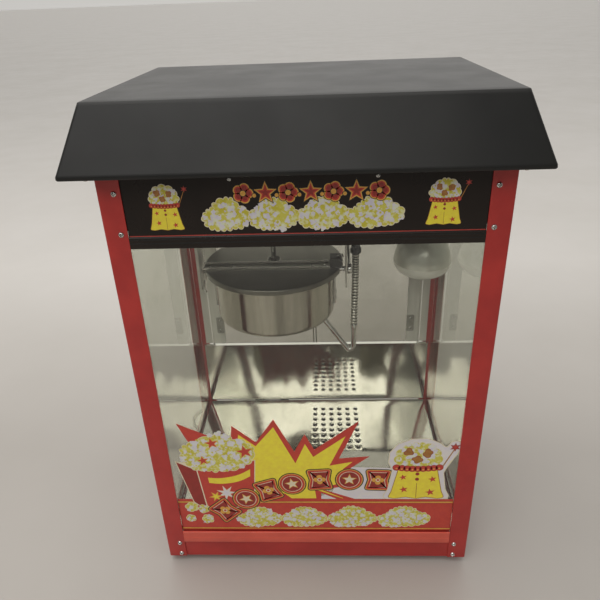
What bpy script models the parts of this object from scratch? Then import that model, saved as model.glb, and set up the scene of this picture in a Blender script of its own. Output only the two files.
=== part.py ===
"""Tabletop popcorn machine: a glazed cabinet with a hanging kettle, a lamp and a canopy roof.

Metres, +Z up. The origin is on the table under the middle of the roof, the front faces -Y.
"""

import math

import bmesh
import bpy
from mathutils import Matrix, Vector
from mathutils.geometry import interpolate_bezier

# Driving sizes
ROOF_HALF = (0.280, 0.210)
ROOF_TOP_HALF = (0.249, 0.181)
ROOF_LOW = 0.689
ROOF_HIGH = 0.770
ROOF_SHEET = 0.0012
BODY_HALF = 0.2535
BODY_FRONT = -0.165
BODY_REAR = 0.195
BODY_LOW = 0.012
BODY_HIGH = 0.6865
FLANGE = 0.030
POST_SHEET = 0.0015
SHEET = 0.0012
GAP = 0.0003
PAN_HIGH = 0.0705
DECK_TOP = 0.0755
HEADER_LOW = 0.5865
CEILING = 0.608
SIDE_GLASS = 0.2375

# Kettle
KETTLE_X = -0.057
KETTLE_R = 0.0943
KETTLE_LOW = 0.408
KETTLE_HIGH = 0.4922
PAN_R = 0.0902
LID_R = 0.109
LID_TOP = 0.4967
TILT_Z = 0.480
CLUTCH_Z = 0.5900
BAR_FRONT = -0.0342
BAR_REAR = -0.0098

# Sieve in the deck
SIEVE_COLUMNS = 6
SIEVE_ROWS = 8
SIEVE_PITCH = 0.0172
SIEVE_FIRST = (-0.0026, 0.0367)
SIEVE_HOLE_R = 0.0042

# Lamp, conduit and doors
LAMP = (0.1845, 0.045)
CONDUIT_X = 0.0722
DOOR_LOW = 0.2265
DOOR_HIGH = 0.5905
DOOR_AXIS = (0.2125, 0.1907)

# Drawer under the sieve
DRAWER_LEFT = -0.0125
DRAWER_RIGHT = 0.0945
DRAWER_FRONT = 0.028
DRAWER_LOW = 0.0137
DRAWER_HIGH = 0.0655

# Mains cord
CORD_R = 0.0035
CORD_STEP = 0.016
GLAND = (-0.2140, 0.2020)
GLAND_LOW = 0.6290
COIL = (-0.1100, 0.2613)
COIL_R = 0.0400
COIL_HIGH = 0.0138

# Colour, roughness, metallic
FINISHES = {
    "red": ((0.42, 0.022, 0.020), 0.32, 0.0),
    "black": ((0.018, 0.018, 0.017), 0.42, 0.0),
    "steel": ((0.62, 0.61, 0.58), 0.18, 1.0),
    "dull steel": ((0.50, 0.50, 0.48), 0.35, 1.0),
    "glass": ((0.86, 0.90, 0.88), 0.04, 0.0),
    "bulb": ((0.80, 0.80, 0.76), 0.25, 0.0),
    "rubber": ((0.03, 0.03, 0.03), 0.70, 0.0),
    "plastic": ((0.025, 0.025, 0.025), 0.38, 0.0),
    "ceramic": ((0.80, 0.78, 0.72), 0.30, 0.0),
    "cord": ((0.02, 0.02, 0.02), 0.50, 0.0),
}

AXES = {
    "X": Matrix(((0, 0, 1), (1, 0, 0), (0, 1, 0))).to_4x4(),
    "Y": Matrix(((1, 0, 0), (0, 0, -1), (0, 1, 0))).to_4x4(),
    "Z": Matrix.Identity(4),
}


def clear_scene():
    for obj in list(bpy.data.objects):
        bpy.data.objects.remove(obj, do_unlink=True)


def new_collection(name, hidden=False):
    collection = bpy.data.collections.new(name)
    bpy.context.scene.collection.children.link(collection)
    collection.hide_render = hidden
    return collection


clear_scene()
PARTS = new_collection("popcorn_machine")
CUTTERS = new_collection("cutters", hidden=True)


def material(name, finish):
    colour, roughness, metallic = FINISHES[finish]
    mat = bpy.data.materials.new(name)
    mat.use_nodes = True
    shader = mat.node_tree.nodes["Principled BSDF"]
    shader.inputs["Base Color"].default_value = (*colour, 1)
    shader.inputs["Roughness"].default_value = roughness
    shader.inputs["Metallic"].default_value = metallic
    if finish == "glass":
        shader.inputs["Transmission Weight"].default_value = 1.0
    return mat


def add(name, data, finish, location=(0, 0, 0)):
    """Puts data into the scene as a part, or as a hidden cutter when finish is None."""
    obj = bpy.data.objects.new(name, data)
    obj.location = location
    if finish is None:
        CUTTERS.objects.link(obj)
        obj.hide_render = True
        obj.display_type = "WIRE"
    else:
        PARTS.objects.link(obj)
        data.materials.append(material(name, finish))
    return obj


def from_bmesh(name, bm, finish, location, smooth=False):
    mesh = bpy.data.meshes.new(name)
    bmesh.ops.recalc_face_normals(bm, faces=bm.faces)
    bm.to_mesh(mesh)
    bm.free()
    if smooth:
        mesh.shade_smooth()
        mesh.set_sharp_from_angle(angle=math.radians(35))
    return add(name, mesh, finish, location)


def box(name, low, high, finish=None):
    low, high = Vector(low), Vector(high)
    bm = bmesh.new()
    bmesh.ops.create_cube(bm, size=1)
    bmesh.ops.scale(bm, vec=high - low, verts=bm.verts)
    return from_bmesh(name, bm, finish, (low + high) / 2)


def add_cylinder(bm, radius, length, axis, centre, sides):
    place = Matrix.Translation(centre) @ AXES[axis]
    bmesh.ops.create_cone(bm, cap_ends=True, segments=sides, radius1=radius, radius2=radius,
                          depth=length, matrix=place)


def cylinder(name, radius, low, high, axis="Z", finish=None, sides=24):
    """A round bar from the point low to the point high, which differ along axis only."""
    low, high = Vector(low), Vector(high)
    bm = bmesh.new()
    add_cylinder(bm, radius, (high - low).length, axis, (0, 0, 0), sides)
    return from_bmesh(name, bm, finish, (low + high) / 2, smooth=True)


def turned(name, profile, location, finish, steps=32):
    """A profile of (radius, height) points turned round the Z axis through location."""
    mesh = bpy.data.meshes.new(name)
    edges = [(i, i + 1) for i in range(len(profile) - 1)]
    mesh.from_pydata([(r, 0, z) for r, z in profile], edges, [])
    obj = add(name, mesh, finish, location)
    screw = obj.modifiers.new("turn", "SCREW")
    screw.steps = screw.render_steps = steps
    screw.use_merge_vertices = True
    screw.merge_threshold = 0.00001
    screw.use_normal_flip = True
    screw.use_smooth_shade = True
    return obj


def outline(name, points, axis, low, high, finish=None):
    """A flat outline, extruded along axis from low to high."""
    curve = bpy.data.curves.new(name, "CURVE")
    curve.dimensions = "2D"
    curve.fill_mode = "BOTH"
    curve.extrude = (high - low) / 2
    spline = curve.splines.new("POLY")
    spline.points.add(len(points) - 1)
    for point, (u, v) in zip(spline.points, points, strict=True):
        point.co = (u, v, 0, 1)
    spline.use_cyclic_u = True
    guide = bpy.data.objects.new(name, curve)
    mesh = bpy.data.meshes.new_from_object(guide)
    bpy.data.curves.remove(curve)
    bm = bmesh.new()
    bm.from_mesh(mesh)
    bpy.data.meshes.remove(mesh)
    bmesh.ops.remove_doubles(bm, verts=bm.verts, dist=0.00001)
    bmesh.ops.transform(bm, matrix=AXES[axis], verts=bm.verts)
    middle = Vector((0, 0, 0))
    middle["XYZ".index(axis)] = (low + high) / 2
    return from_bmesh(name, bm, finish, middle)


def tube(name, points, radius, finish):
    curve = bpy.data.curves.new(name, "CURVE")
    curve.dimensions = "3D"
    curve.bevel_depth = radius
    curve.bevel_resolution = 2
    curve.use_fill_caps = True
    spline = curve.splines.new("POLY")
    spline.points.add(len(points) - 1)
    for point, place in zip(spline.points, points, strict=True):
        point.co = (*place, 1)
    return add(name, curve, finish)


def solid_tube(name, points, radius, finish=None):
    """A tube as a mesh, for use with Booleans."""
    obj = tube(name, points, radius, "steel")
    mesh = bpy.data.meshes.new_from_object(obj)
    bpy.data.objects.remove(obj, do_unlink=True)
    bm = bmesh.new()
    bm.from_mesh(mesh)
    bpy.data.meshes.remove(mesh)
    bmesh.ops.remove_doubles(bm, verts=bm.verts, dist=0.00001)
    return from_bmesh(name, bm, finish, (0, 0, 0), smooth=True)


def combine(obj, other, operation="DIFFERENCE"):
    boolean = obj.modifiers.new(operation.lower(), "BOOLEAN")
    boolean.operation = operation
    boolean.solver = "EXACT"
    boolean.object = other
    return obj


def pivot_at(obj, point):
    """Moves a mesh object's origin to point and leaves its shape where it is."""
    point = Vector(point)
    obj.data.transform(Matrix.Translation(obj.location - point))
    obj.location = point
    return obj


def arc(centre, radius, start, end, count):
    """Points on a circle between two angles in degrees."""
    angles = [math.radians(start + (end - start) * i / (count - 1)) for i in range(count)]
    return [(centre[0] + radius * math.cos(a), centre[1] + radius * math.sin(a)) for a in angles]


# ---- Cabinet ----


def post(name, x_side, y_side):
    """One red corner post, an L section with its corner outwards."""
    x = x_side * BODY_HALF
    y = BODY_FRONT if y_side < 0 else BODY_REAR
    in_x, in_y = -x_side, -y_side
    points = [(x, y), (x + in_x * FLANGE, y), (x + in_x * FLANGE, y + in_y * POST_SHEET),
              (x + in_x * POST_SHEET, y + in_y * POST_SHEET),
              (x + in_x * POST_SHEET, y + in_y * FLANGE), (x, y + in_y * FLANGE)]
    return outline(name, points, "Z", BODY_LOW, BODY_HIGH, "red")


def base_pan():
    """The folded base, open at the top, with the drawer's opening in its rear wall."""
    low = (-0.2517, -0.1630, BODY_LOW)
    high = (0.2517, 0.1930, PAN_HIGH)
    pan = box("base_pan", low, high, "red")
    inside = box("base_inside", (low[0] + SHEET, low[1] + SHEET, low[2] + SHEET),
                 (high[0] - SHEET, high[1] - SHEET, high[2] + 0.01))
    opening = box("drawer_opening", (DRAWER_LEFT - 0.0005, 0.18, DRAWER_LOW - 0.0002),
                  (DRAWER_RIGHT + 0.0005, 0.21, DRAWER_HIGH + 0.0005))
    combine(pan, inside)
    return combine(pan, opening)


def deck():
    """The polished floor: a plate on two runners, with the sieve's holes."""
    half, runner = 0.2350, 0.0080
    low, under = PAN_HIGH + GAP, DECK_TOP - SHEET
    points = [(-half, low), (-half, DECK_TOP), (half, DECK_TOP), (half, low),
              (half - runner, low), (half - runner, under),
              (runner - half, under), (runner - half, low)]
    plate = outline("deck", points, "Y", -0.1565, 0.1915, "steel")
    bm = bmesh.new()
    for column in range(SIEVE_COLUMNS):
        for row in range(SIEVE_ROWS):
            centre = (SIEVE_FIRST[0] + column * SIEVE_PITCH,
                      SIEVE_FIRST[1] + row * SIEVE_PITCH, DECK_TOP)
            add_cylinder(bm, SIEVE_HOLE_R, 0.02, "Z", centre, 10)
    holes = from_bmesh("sieve_holes", bm, None, (0, 0, 0))
    return combine(plate, holes)


def pin_holes(name, low, high):
    """The two holes that the doors' pivot pins turn in."""
    bm = bmesh.new()
    for side in (-1, 1):
        centre = (side * DOOR_AXIS[0], DOOR_AXIS[1], (low + high) / 2)
        add_cylinder(bm, 0.0022, high - low, "Z", centre, 12)
    return from_bmesh(name, bm, None, (0, 0, 0))


def rear_panel():
    """The polished guard below the doors, folded forwards along its top."""
    low, high, back = DECK_TOP + GAP, 0.2225, 0.1932
    points = [(back - SHEET, low), (back, low), (back, high), (0.1850, high),
              (0.1850, high - SHEET), (back - SHEET, high - SHEET)]
    panel = outline("rear_panel", points, "X", -0.2345, 0.2345, "steel")
    return combine(panel, pin_holes("low_pin_holes", high - 0.01, high + 0.01))


def rear_header():
    """The rear of the top box, folded forwards along its lower edge over the doors."""
    low, back = 0.5945, 0.1932
    points = [(back, low), (back, BODY_HIGH), (back - SHEET, BODY_HIGH),
              (back - SHEET, low + SHEET), (0.1850, low + SHEET), (0.1850, low)]
    header = outline("rear_header", points, "X", -0.2345, 0.2345, "black")
    combine(header, pin_holes("high_pin_holes", low - 0.01, low + 0.01))
    return combine(header, switch_openings("header_openings", 0.0125, 0.0065))


def cabinet():
    for side, name in ((-1, "left"), (1, "right")):
        post("post_front_" + name, side, -1)
        post("post_rear_" + name, side, 1)
        glass = sorted((side * SIDE_GLASS, side * (SIDE_GLASS + 0.003)))
        box("glass_" + name, (glass[0], -0.1580, PAN_HIGH + GAP), (glass[1], 0.1880, CEILING - GAP),
            "glass")
        foot = [(0, 0), (0.011, 0), (0.014, BODY_LOW - GAP), (0, BODY_LOW - GAP)]
        for y, end in ((-0.120, "front"), (0.120, "rear")):
            turned(f"foot_{end}_{name}", foot, (side * 0.205, y, 0), "rubber", 24)
    base_pan()
    deck()
    rear_panel()
    rear_header()
    inner = BODY_HALF - FLANGE - GAP
    box("front_rail", (-inner, -0.1665, 0.0480), (inner, -0.1635, 0.0715), "red")
    box("glass_front", (-0.2365, -0.1617, PAN_HIGH + GAP), (0.2365, -0.1587, 0.6000), "glass")
    header = box("header", (-0.2365, -0.1632, HEADER_LOW), (0.2365, -0.1620, BODY_HIGH), "black")
    channel = box("glass_channel", (-inner, -0.1648, HEADER_LOW), (inner, -0.1626, 0.6020))
    combine(header, channel, "UNION")


def ceiling():
    """The folded tray over the popping chamber, with holes for the shaft, the socket and the lamp."""
    half, top = 0.2422, CEILING + SHEET
    points = [(-half, CEILING), (half, CEILING), (half, BODY_HIGH), (half - SHEET, BODY_HIGH),
              (half - SHEET, top), (SHEET - half, top), (SHEET - half, BODY_HIGH), (-half, BODY_HIGH)]
    plate = outline("ceiling", points, "Y", -0.1555, 0.1880, "steel")
    bm = bmesh.new()
    for x, y, radius in ((KETTLE_X, 0, 0.0065), (CONDUIT_X, 0, 0.006), (*LAMP, 0.010)):
        add_cylinder(bm, radius, 0.02, "Z", (x, y, CEILING), 16)
    return combine(plate, from_bmesh("ceiling_holes", bm, None, (0, 0, 0)))


def frustum(name, low_half, high_half, low, high, finish=None):
    bm = bmesh.new()
    bmesh.ops.create_cube(bm, size=2)
    for vert in bm.verts:
        half = high_half if vert.co.z > 0 else low_half
        vert.co = (vert.co.x * half[0], vert.co.y * half[1], vert.co.z * (high - low) / 2)
    return from_bmesh(name, bm, finish, (0, 0, (low + high) / 2))


def roof():
    """The sheet canopy: sloping sides, a flat top and a lip turned in over the top box."""
    shell = frustum("roof", ROOF_HALF, ROOF_TOP_HALF, ROOF_LOW, ROOF_HIGH, "black")
    wall = ROOF_SHEET * 1.07
    inside = frustum("roof_inside", [h - wall for h in ROOF_HALF], [h - wall for h in ROOF_TOP_HALF],
                     ROOF_LOW + ROOF_SHEET, ROOF_HIGH - ROOF_SHEET)
    lip = box("roof_opening", (-0.2450, -0.1550, ROOF_LOW - 0.01), (0.2450, 0.1850, ROOF_LOW + 0.01))
    combine(shell, inside)
    return combine(shell, lip)


def top_box():
    ceiling()
    box("top_plate", (-0.2530, -0.1645, BODY_HIGH + GAP), (0.2530, 0.1945, ROOF_LOW - GAP), "black")
    roof()
    box("magnet_catch", (-0.0200, 0.1780, 0.5850), (0.0200, 0.1847, CEILING - GAP), "plastic")


# ---- Switches on the rear of the top box ----

ROCKERS = (("rocker_heat", -0.040), ("rocker_stir", 0.0), ("rocker_lamp", 0.040))
ROCKER_Z = 0.645
ROCKER_Y = 0.1950


def switch_openings(name, half_height, half_width):
    bm = bmesh.new()
    for _, x in ROCKERS:
        place = Matrix.Translation((x, 0.194, ROCKER_Z))
        size = Matrix.Diagonal((2 * half_width, 0.02, 2 * half_height, 1))
        bmesh.ops.create_cube(bm, size=1, matrix=place @ size)
    return from_bmesh(name, bm, None, (0, 0, 0))


def switches():
    plate = box("switch_plate", (-0.0650, 0.1935, 0.6180), (0.0650, 0.1975, 0.6720), "plastic")
    combine(plate, switch_openings("plate_openings", 0.0125, 0.0065))
    for name, x in ROCKERS:
        lean, half = 0.0022, 0.0112
        points = [(0.1925, ROCKER_Z - half + 0.001), (0.1962, ROCKER_Z - half), (0.1972, ROCKER_Z),
                  (0.1962 + lean, ROCKER_Z + half), (0.1925, ROCKER_Z + half - 0.001)]
        rocker = outline(name, points, "X", x - 0.0056, x + 0.0056, "plastic")
        pivot_at(rocker, (x, ROCKER_Y, ROCKER_Z))


# ---- Doors ----


def doors():
    for side, name in ((-1, "left"), (1, "right")):
        axis = (side * DOOR_AXIS[0], DOOR_AXIS[1], 0.4)
        pane = sorted((side * 0.0015, side * 0.2085))
        door = box("door_" + name, (pane[0], 0.1868, DOOR_LOW), (pane[1], 0.1898, DOOR_HIGH), "glass")
        strip = sorted((side * 0.1870, side * 0.2145))
        stile = box("stile_" + name, (strip[0], 0.1901, DOOR_LOW), (strip[1], 0.1913, DOOR_HIGH),
                    "steel")
        for z in (DOOR_LOW - 0.0010, DOOR_HIGH + 0.0010):
            pin = cylinder(f"pin_{name}_{z:.2f}", 0.0015, (axis[0], axis[1], z - 0.0060),
                           (axis[0], axis[1], z + 0.0060), sides=12)
            combine(stile, pin, "UNION")
        x = side * 0.022
        knob = cylinder("door_knob_" + name, 0.009, (x, 0.1901, 0.400), (x, 0.2080, 0.400), "Y",
                        "plastic")
        for piece in (door, stile, knob):
            pivot_at(piece, axis)


# ---- Kettle ----


def cup(radius, wall, low, high, corner, lip=0.0):
    """The (radius, height) profile of an open cup with rounded bottom corners."""
    inner = corner - wall
    outside = arc((radius - corner, low + corner), corner, -90, 0, 5)
    inside = arc((radius - corner, low + corner), inner, 0, -90, 5)
    rim = [(radius, high)]
    if lip:
        rim = [(radius, high - wall), (radius + lip, high - wall), (radius + lip, high)]
    return [(0, low), *outside, *rim, (radius - wall, high), *inside, (0, low + wall)]


def half_lid(name, keep, hinge_y):
    """Half of the round lid, with its rim turned down. keep is the side of the bar it lies on."""
    skirt = 0.0080
    sheet = 0.0014
    profile = [(0, LID_TOP - sheet), (LID_R - sheet, LID_TOP - sheet), (LID_R - sheet, LID_TOP - skirt),
               (LID_R, LID_TOP - skirt), (LID_R, LID_TOP), (0, LID_TOP)]
    lid = turned(name, [(r, z - LID_TOP) for r, z in profile], (KETTLE_X, 0, LID_TOP), "steel", 48)
    low, high = (hinge_y, 0.2) if keep < 0 else (-0.2, hinge_y)
    return combine(lid, box(name + "_cut", (-0.3, low, 0.4), (0.3, high, 0.6)))


def move_origin(obj, point):
    """As pivot_at, for a turned profile: the Screw keeps turning round the kettle's middle."""
    guide = bpy.data.objects.new(obj.name + "_middle", None)
    guide.location = obj.location
    CUTTERS.objects.link(guide)
    pivot_at(obj, point)
    obj.modifiers["turn"].object = guide
    return obj


def kettle():
    centre = (KETTLE_X, 0, 0)
    jacket = cup(KETTLE_R, 0.0010, KETTLE_LOW, KETTLE_HIGH, 0.0100)
    turned("kettle_jacket", jacket, centre, "steel", 48)
    pan = cup(PAN_R, 0.0014, 0.4240, 0.4938, 0.0080, lip=0.0055)
    turned("kettle_pan", pan, centre, "dull steel", 48)
    turned("heater_plate", [(0, 0.4120), (0.0800, 0.4120), (0.0820, 0.4140), (0.0820, 0.4210),
                            (0, 0.4210)], centre, "dull steel", 32)
    box("kettle_bar", (-0.1655, BAR_FRONT, 0.4941), (0.0310, BAR_REAR, 0.5001), "steel")
    box("bar_block", (0.0313, -0.0338, 0.4971), (0.0495, -0.0100, 0.5110), "plastic")
    front = half_lid("lid_front", -1, BAR_FRONT - GAP)
    rear = half_lid("lid_rear", 1, BAR_REAR + GAP)
    slot = box("lid_slot", (KETTLE_X - 0.0100, -0.03, 0.48), (KETTLE_X + 0.0100, 0.0160, 0.52))
    combine(rear, slot)
    move_origin(front, (KETTLE_X, BAR_FRONT - GAP, LID_TOP))
    move_origin(rear, (KETTLE_X, BAR_REAR + GAP, LID_TOP))
    stirrer()


def stirrer():
    """The stirring arm: two low blades on a long rod that ends in a clutch disc under the ceiling."""
    profile = [(0, 0.4270), (0.0110, 0.4270), (0.0110, 0.4360), (0.0040, 0.4400), (0.0040, CLUTCH_Z - 0.0080),
               (0.0085, CLUTCH_Z - 0.0080), (0.0085, CLUTCH_Z), (0, CLUTCH_Z)]
    arm = turned("stirrer", profile, (KETTLE_X, 0, 0), "steel", 24)
    blades = box("blades", (KETTLE_X - 0.0760, -0.0030, 0.4275), (KETTLE_X + 0.0760, 0.0030, 0.4350))
    return combine(arm, blades, "UNION")


def pivots():
    """On each side a strap and pin on the kettle, and the hanger plate that carries the pin."""
    left = KETTLE_X - KETTLE_R - GAP
    right = KETTLE_X + KETTLE_R + GAP
    for name, side, wall, plate in (("left", -1, left, -0.1715), ("right", 1, right, 0.0560)):
        strap = sorted((wall, wall + side * 0.0030))
        ear = box("pivot_" + name, (strap[0], -0.0080, 0.4205), (strap[1], 0.0080, 0.4870),
                  "dull steel")
        reach = sorted((wall + side * 0.0010, plate + side * 0.0030))
        pin = cylinder("pin_" + name, 0.0040, (reach[0], 0, TILT_Z), (reach[1], 0, TILT_Z), "X")
        pivot_at(combine(ear, pin, "UNION"), (wall, 0, TILT_Z))
        hanger(name, side, plate)


def hanger(name, side, plate):
    """A plate that hangs from the ceiling on a foot turned to the left."""
    face, back = sorted((plate, plate + side * 0.0020))
    top, low, tip = CEILING - GAP, 0.4550, back - 0.0200
    points = [(back, low), (back, top), (tip, top), (tip, top - 0.0020),
              (face, top - 0.0020), (face, low)]
    plate = outline("hanger_" + name, points, "Y", -0.0200, 0.0200, "dull steel")
    hole = cylinder("pin_hole_" + name, 0.00405, (face - 0.01, 0, TILT_Z), (back + 0.01, 0, TILT_Z),
                    "X")
    combine(plate, hole)


def tilt_handle():
    """The rod the operator tips the kettle with, and its black grip."""
    x = 0.0624
    boss = cylinder("tilt_handle", 0.0085, (0.0592, 0, TILT_Z), (0.0656, 0, TILT_Z), "X", "steel")
    rod = solid_tube("handle_rod", [(x, 0, TILT_Z), (x, 0.030, TILT_Z + 0.004),
                                    (x, 0.060, TILT_Z + 0.012), (x, 0.104, TILT_Z + 0.025)], 0.0030)
    combine(boss, rod, "UNION")
    slope = math.atan2(0.013, 0.044)
    bm = bmesh.new()
    place = Matrix.Rotation(slope, 4, "X") @ AXES["Y"]
    bmesh.ops.create_cone(bm, cap_ends=True, segments=20, radius1=0.0075, radius2=0.0075,
                          depth=0.030, matrix=place)
    middle = Vector((x, 0.0880, TILT_Z + 0.0203))
    grip = from_bmesh("handle_grip", bm, "plastic", middle, smooth=True)
    ends = [(x, 0.060, TILT_Z + 0.012), (x, 0.108, TILT_Z + 0.0262)]
    bore = solid_tube("grip_bore", ends, 0.0033)
    combine(grip, bore)
    pivot_at(grip, (x, 0, TILT_Z))


def latch():
    """The little wire hook with a ball end on the left hanger."""
    x = -0.1690
    hook = solid_tube("latch_hook", [(x, -0.0130, 0.4620), (x, -0.0120, 0.4660), (x, -0.0080, 0.4685),
                                     (x, -0.0040, 0.4660), (x, -0.0045, 0.4610), (x, -0.0090, 0.4560),
                                     (x, -0.0120, 0.4510)], 0.0012, "steel")
    bm = bmesh.new()
    bmesh.ops.create_uvsphere(bm, u_segments=14, v_segments=8, radius=0.0026,
                              matrix=Matrix.Translation((x, -0.0122, 0.4495)))
    combine(hook, from_bmesh("latch_ball", bm, None, (0, 0, 0)), "UNION")
    stem = cylinder("latch_stem", 0.0016, (-0.1710, -0.0130, 0.4620),
                    (x + 0.0010, -0.0130, 0.4620), "X", sides=12)
    combine(hook, stem, "UNION")
    pivot_at(hook, (x, -0.0130, 0.4620))


# ---- Drive, lamp and power to the kettle ----


def drive():
    """The gear motor on the ceiling, and its short shaft with the other half of the clutch."""
    motor = box("gear_motor", (-0.0890, -0.0300, CEILING + 0.0260),
                (-0.0250, 0.0300, CEILING + 0.0660), "dull steel")
    gearbox = cylinder("gearbox", 0.0270, (KETTLE_X, 0, CEILING + SHEET + GAP),
                       (KETTLE_X, 0, CEILING + 0.0300))
    combine(motor, gearbox, "UNION")
    low = CLUTCH_Z + 0.0015
    turned("drive_shaft", [(0, low), (0.0085, low), (0.0085, low + 0.0070), (0.0040, low + 0.0070),
                           (0.0040, CEILING + SHEET), (0, CEILING + SHEET)], (KETTLE_X, 0, 0), "steel", 24)


def power():
    """The rigid elbow on the kettle, the armoured conduit, and its plug and socket."""
    x = CONDUIT_X
    tube("elbow", [(0.0105, 0, 0.4076), (0.0105, 0, 0.4040), (0.0135, 0, 0.3985),
                   (0.0585, 0, 0.3322), (0.0620, 0, 0.3290), (0.0660, 0, 0.3292),
                   (0.0688, 0, 0.3330), (0.0700, 0, 0.3400), (0.0704, 0, 0.3790)], 0.0045, "steel")
    tube("conduit", [(0.0704, 0, 0.3793), (0.0712, 0, 0.4250), (0.0720, 0, 0.4700), (x, 0, 0.5072)],
         0.0050, "dull steel")
    turned("conduit_plug", [(0, 0.5075), (0.0086, 0.5075), (0.0086, 0.5140), (0.0070, 0.5160),
                            (0.0070, 0.5600), (0, 0.5600)], (x, 0, 0), "plastic", 20)
    turned("kettle_socket", [(0, 0.5603), (0.0105, 0.5603), (0.0105, CEILING - GAP), (0, CEILING - GAP)],
           (x, 0, 0), "plastic", 20)


def lamp():
    turned("lamp_holder", [(0, 0.5860), (0.0145, 0.5860), (0.0145, 0.5500), (0.0200, 0.5500),
                           (0.0200, 0.5900), (0.0240, 0.6000), (0.0240, CEILING - GAP),
                           (0, CEILING - GAP)], (*LAMP, 0), "ceramic", 24)
    turned("lamp_bulb", [(0, 0.4460), (0.0160, 0.4469), (0.0290, 0.4500), (0.0390, 0.4560),
                         (0.0450, 0.4635), (0.0470, 0.4720), (0.0455, 0.4810), (0.0400, 0.4930),
                         (0.0290, 0.5110), (0.0190, 0.5300), (0.0142, 0.5450), (0.0142, 0.5560),
                         (0.0130, 0.5580), (0.0130, 0.5820), (0.0050, 0.5850), (0, 0.5850)],
           (*LAMP, 0), "bulb", 36)


# ---- Drawer ----


def drawer():
    tray = box("drawer", (DRAWER_LEFT, DRAWER_FRONT, DRAWER_LOW),
               (DRAWER_RIGHT, 0.1945, DRAWER_HIGH), "steel")
    combine(tray, box("drawer_face", (DRAWER_LEFT - 0.0060, 0.1933, 0.0140),
                      (DRAWER_RIGHT + 0.0060, 0.1948, 0.0690)), "UNION")
    inside = box("drawer_inside", (DRAWER_LEFT + SHEET, DRAWER_FRONT + SHEET, DRAWER_LOW + SHEET),
                 (DRAWER_RIGHT - SHEET, 0.1920, DRAWER_HIGH + 0.01))
    combine(tray, inside)
    middle = (DRAWER_LEFT + DRAWER_RIGHT) / 2
    cylinder("drawer_knob", 0.0080, (middle, 0.1951, 0.0420), (middle, 0.2090, 0.0420), "Y",
             "plastic")


# ---- Mains cord ----


def smooth(points, step):
    """Points about a step apart on the smooth curve through points."""
    points = [Vector(p) for p in points]
    last = len(points) - 1
    ways = [(points[min(i + 1, last)] - points[max(i - 1, 0)]).normalized() for i in range(last + 1)]
    line = []
    for i in range(last):
        start, end = points[i], points[i + 1]
        length = (end - start).length
        count = max(2, round(length / step) + 1)
        line += interpolate_bezier(start, start + ways[i] * length / 3,
                                   end - ways[i + 1] * length / 3, end, count)[:-1]
    return [*line, points[last]]


def cord_gland():
    """A block on the rear of the top box with a tapered sleeve that points down."""
    x, y = GLAND
    block = box("cord_gland", (x - 0.0085, 0.1935, 0.6580), (x + 0.0085, 0.2095, 0.6780), "plastic")
    sleeve = turned("gland_sleeve", [(0, GLAND_LOW), (0.0046, GLAND_LOW), (0.0070, 0.6600),
                                     (0, 0.6600)], (x, y, 0), "plastic", 20)
    mesh = bpy.data.meshes.new_from_object(sleeve.evaluated_get(bpy.context.evaluated_depsgraph_get()))
    bpy.data.objects.remove(sleeve, do_unlink=True)
    combine(block, add("sleeve", mesh, None, (x, y, 0)), "UNION")


def plug():
    """A moulded plug that points to the left, with two round pins."""
    end, middle = COIL[0] - 0.0328, COIL[1] + COIL_R
    points = [(end, middle - 0.0050), (end - 0.0160, middle - 0.0115), (end - 0.0400, middle - 0.0115),
              (end - 0.0400, middle + 0.0115), (end - 0.0160, middle + 0.0115), (end, middle + 0.0050)]
    body = outline("plug", points, "Z", GAP, 0.0197, "plastic")
    for y in (middle - 0.0060, middle + 0.0060):
        pin = cylinder(f"plug_pin_{y:.3f}", 0.0020, (end - 0.0590, y, 0.0100),
                       (end - 0.0350, y, 0.0100), "X", sides=12)
        combine(body, pin, "UNION")


def cord():
    """The cord: down behind the rear left corner, a loop on the table, and the coil."""
    cord_gland()
    (x, y), low = GLAND, CORD_R + GAP
    hanging = [(x, y, GLAND_LOW - GAP), (x, y, 0.6180), (-0.2162, y, 0.6040), (-0.2210, y, 0.5880),
               (-0.2268, y, 0.5670), (-0.2318, y, 0.5420), (-0.2350, y, 0.5120), (-0.2363, 0.2015, 0.4700),
               (-0.2366, 0.2012, 0.3700), (-0.2362, 0.2010, 0.2600), (-0.2358, 0.2010, 0.1700),
               (-0.2356, 0.2012, 0.0950), (-0.2356, 0.2022, 0.0560), (-0.2356, 0.2062, 0.0330),
               (-0.2360, 0.2150, 0.0145), (-0.2380, 0.2275, 0.0055)]
    lying = [(-0.2440, 0.2395), (-0.2545, 0.2472), (-0.2670, 0.2480), (-0.2783, 0.2420),
             (-0.2866, 0.2307), (-0.2903, 0.2165), (-0.2884, 0.2020), (-0.2818, 0.1882),
             (-0.2710, 0.1770), (-0.2570, 0.1700), (-0.2410, 0.1680), (-0.2250, 0.1712),
             (-0.2110, 0.1790), (-0.1990, 0.1890), (-0.1870, 0.1990), (-0.1730, 0.2080),
             (-0.1560, 0.2140), (-0.1375, 0.2165)]
    route = [*hanging, *((u, v, low) for u, v in lying)]
    tube("cord", smooth(route, CORD_STEP), CORD_R, "cord")
    half = 0.0074
    turned("cord_coil", [(COIL_R - half, GAP), (COIL_R + half, GAP), (COIL_R + half, COIL_HIGH),
                         (COIL_R - half, COIL_HIGH), (COIL_R - half, GAP)], (*COIL, 0), "cord", 32)
    plug()


cabinet()
top_box()
switches()
doors()
kettle()
pivots()
tilt_handle()
latch()
drive()
power()
lamp()
drawer()
cord()
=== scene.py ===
import math
import random

import bmesh
import bpy
from mathutils import Matrix, Vector


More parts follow.
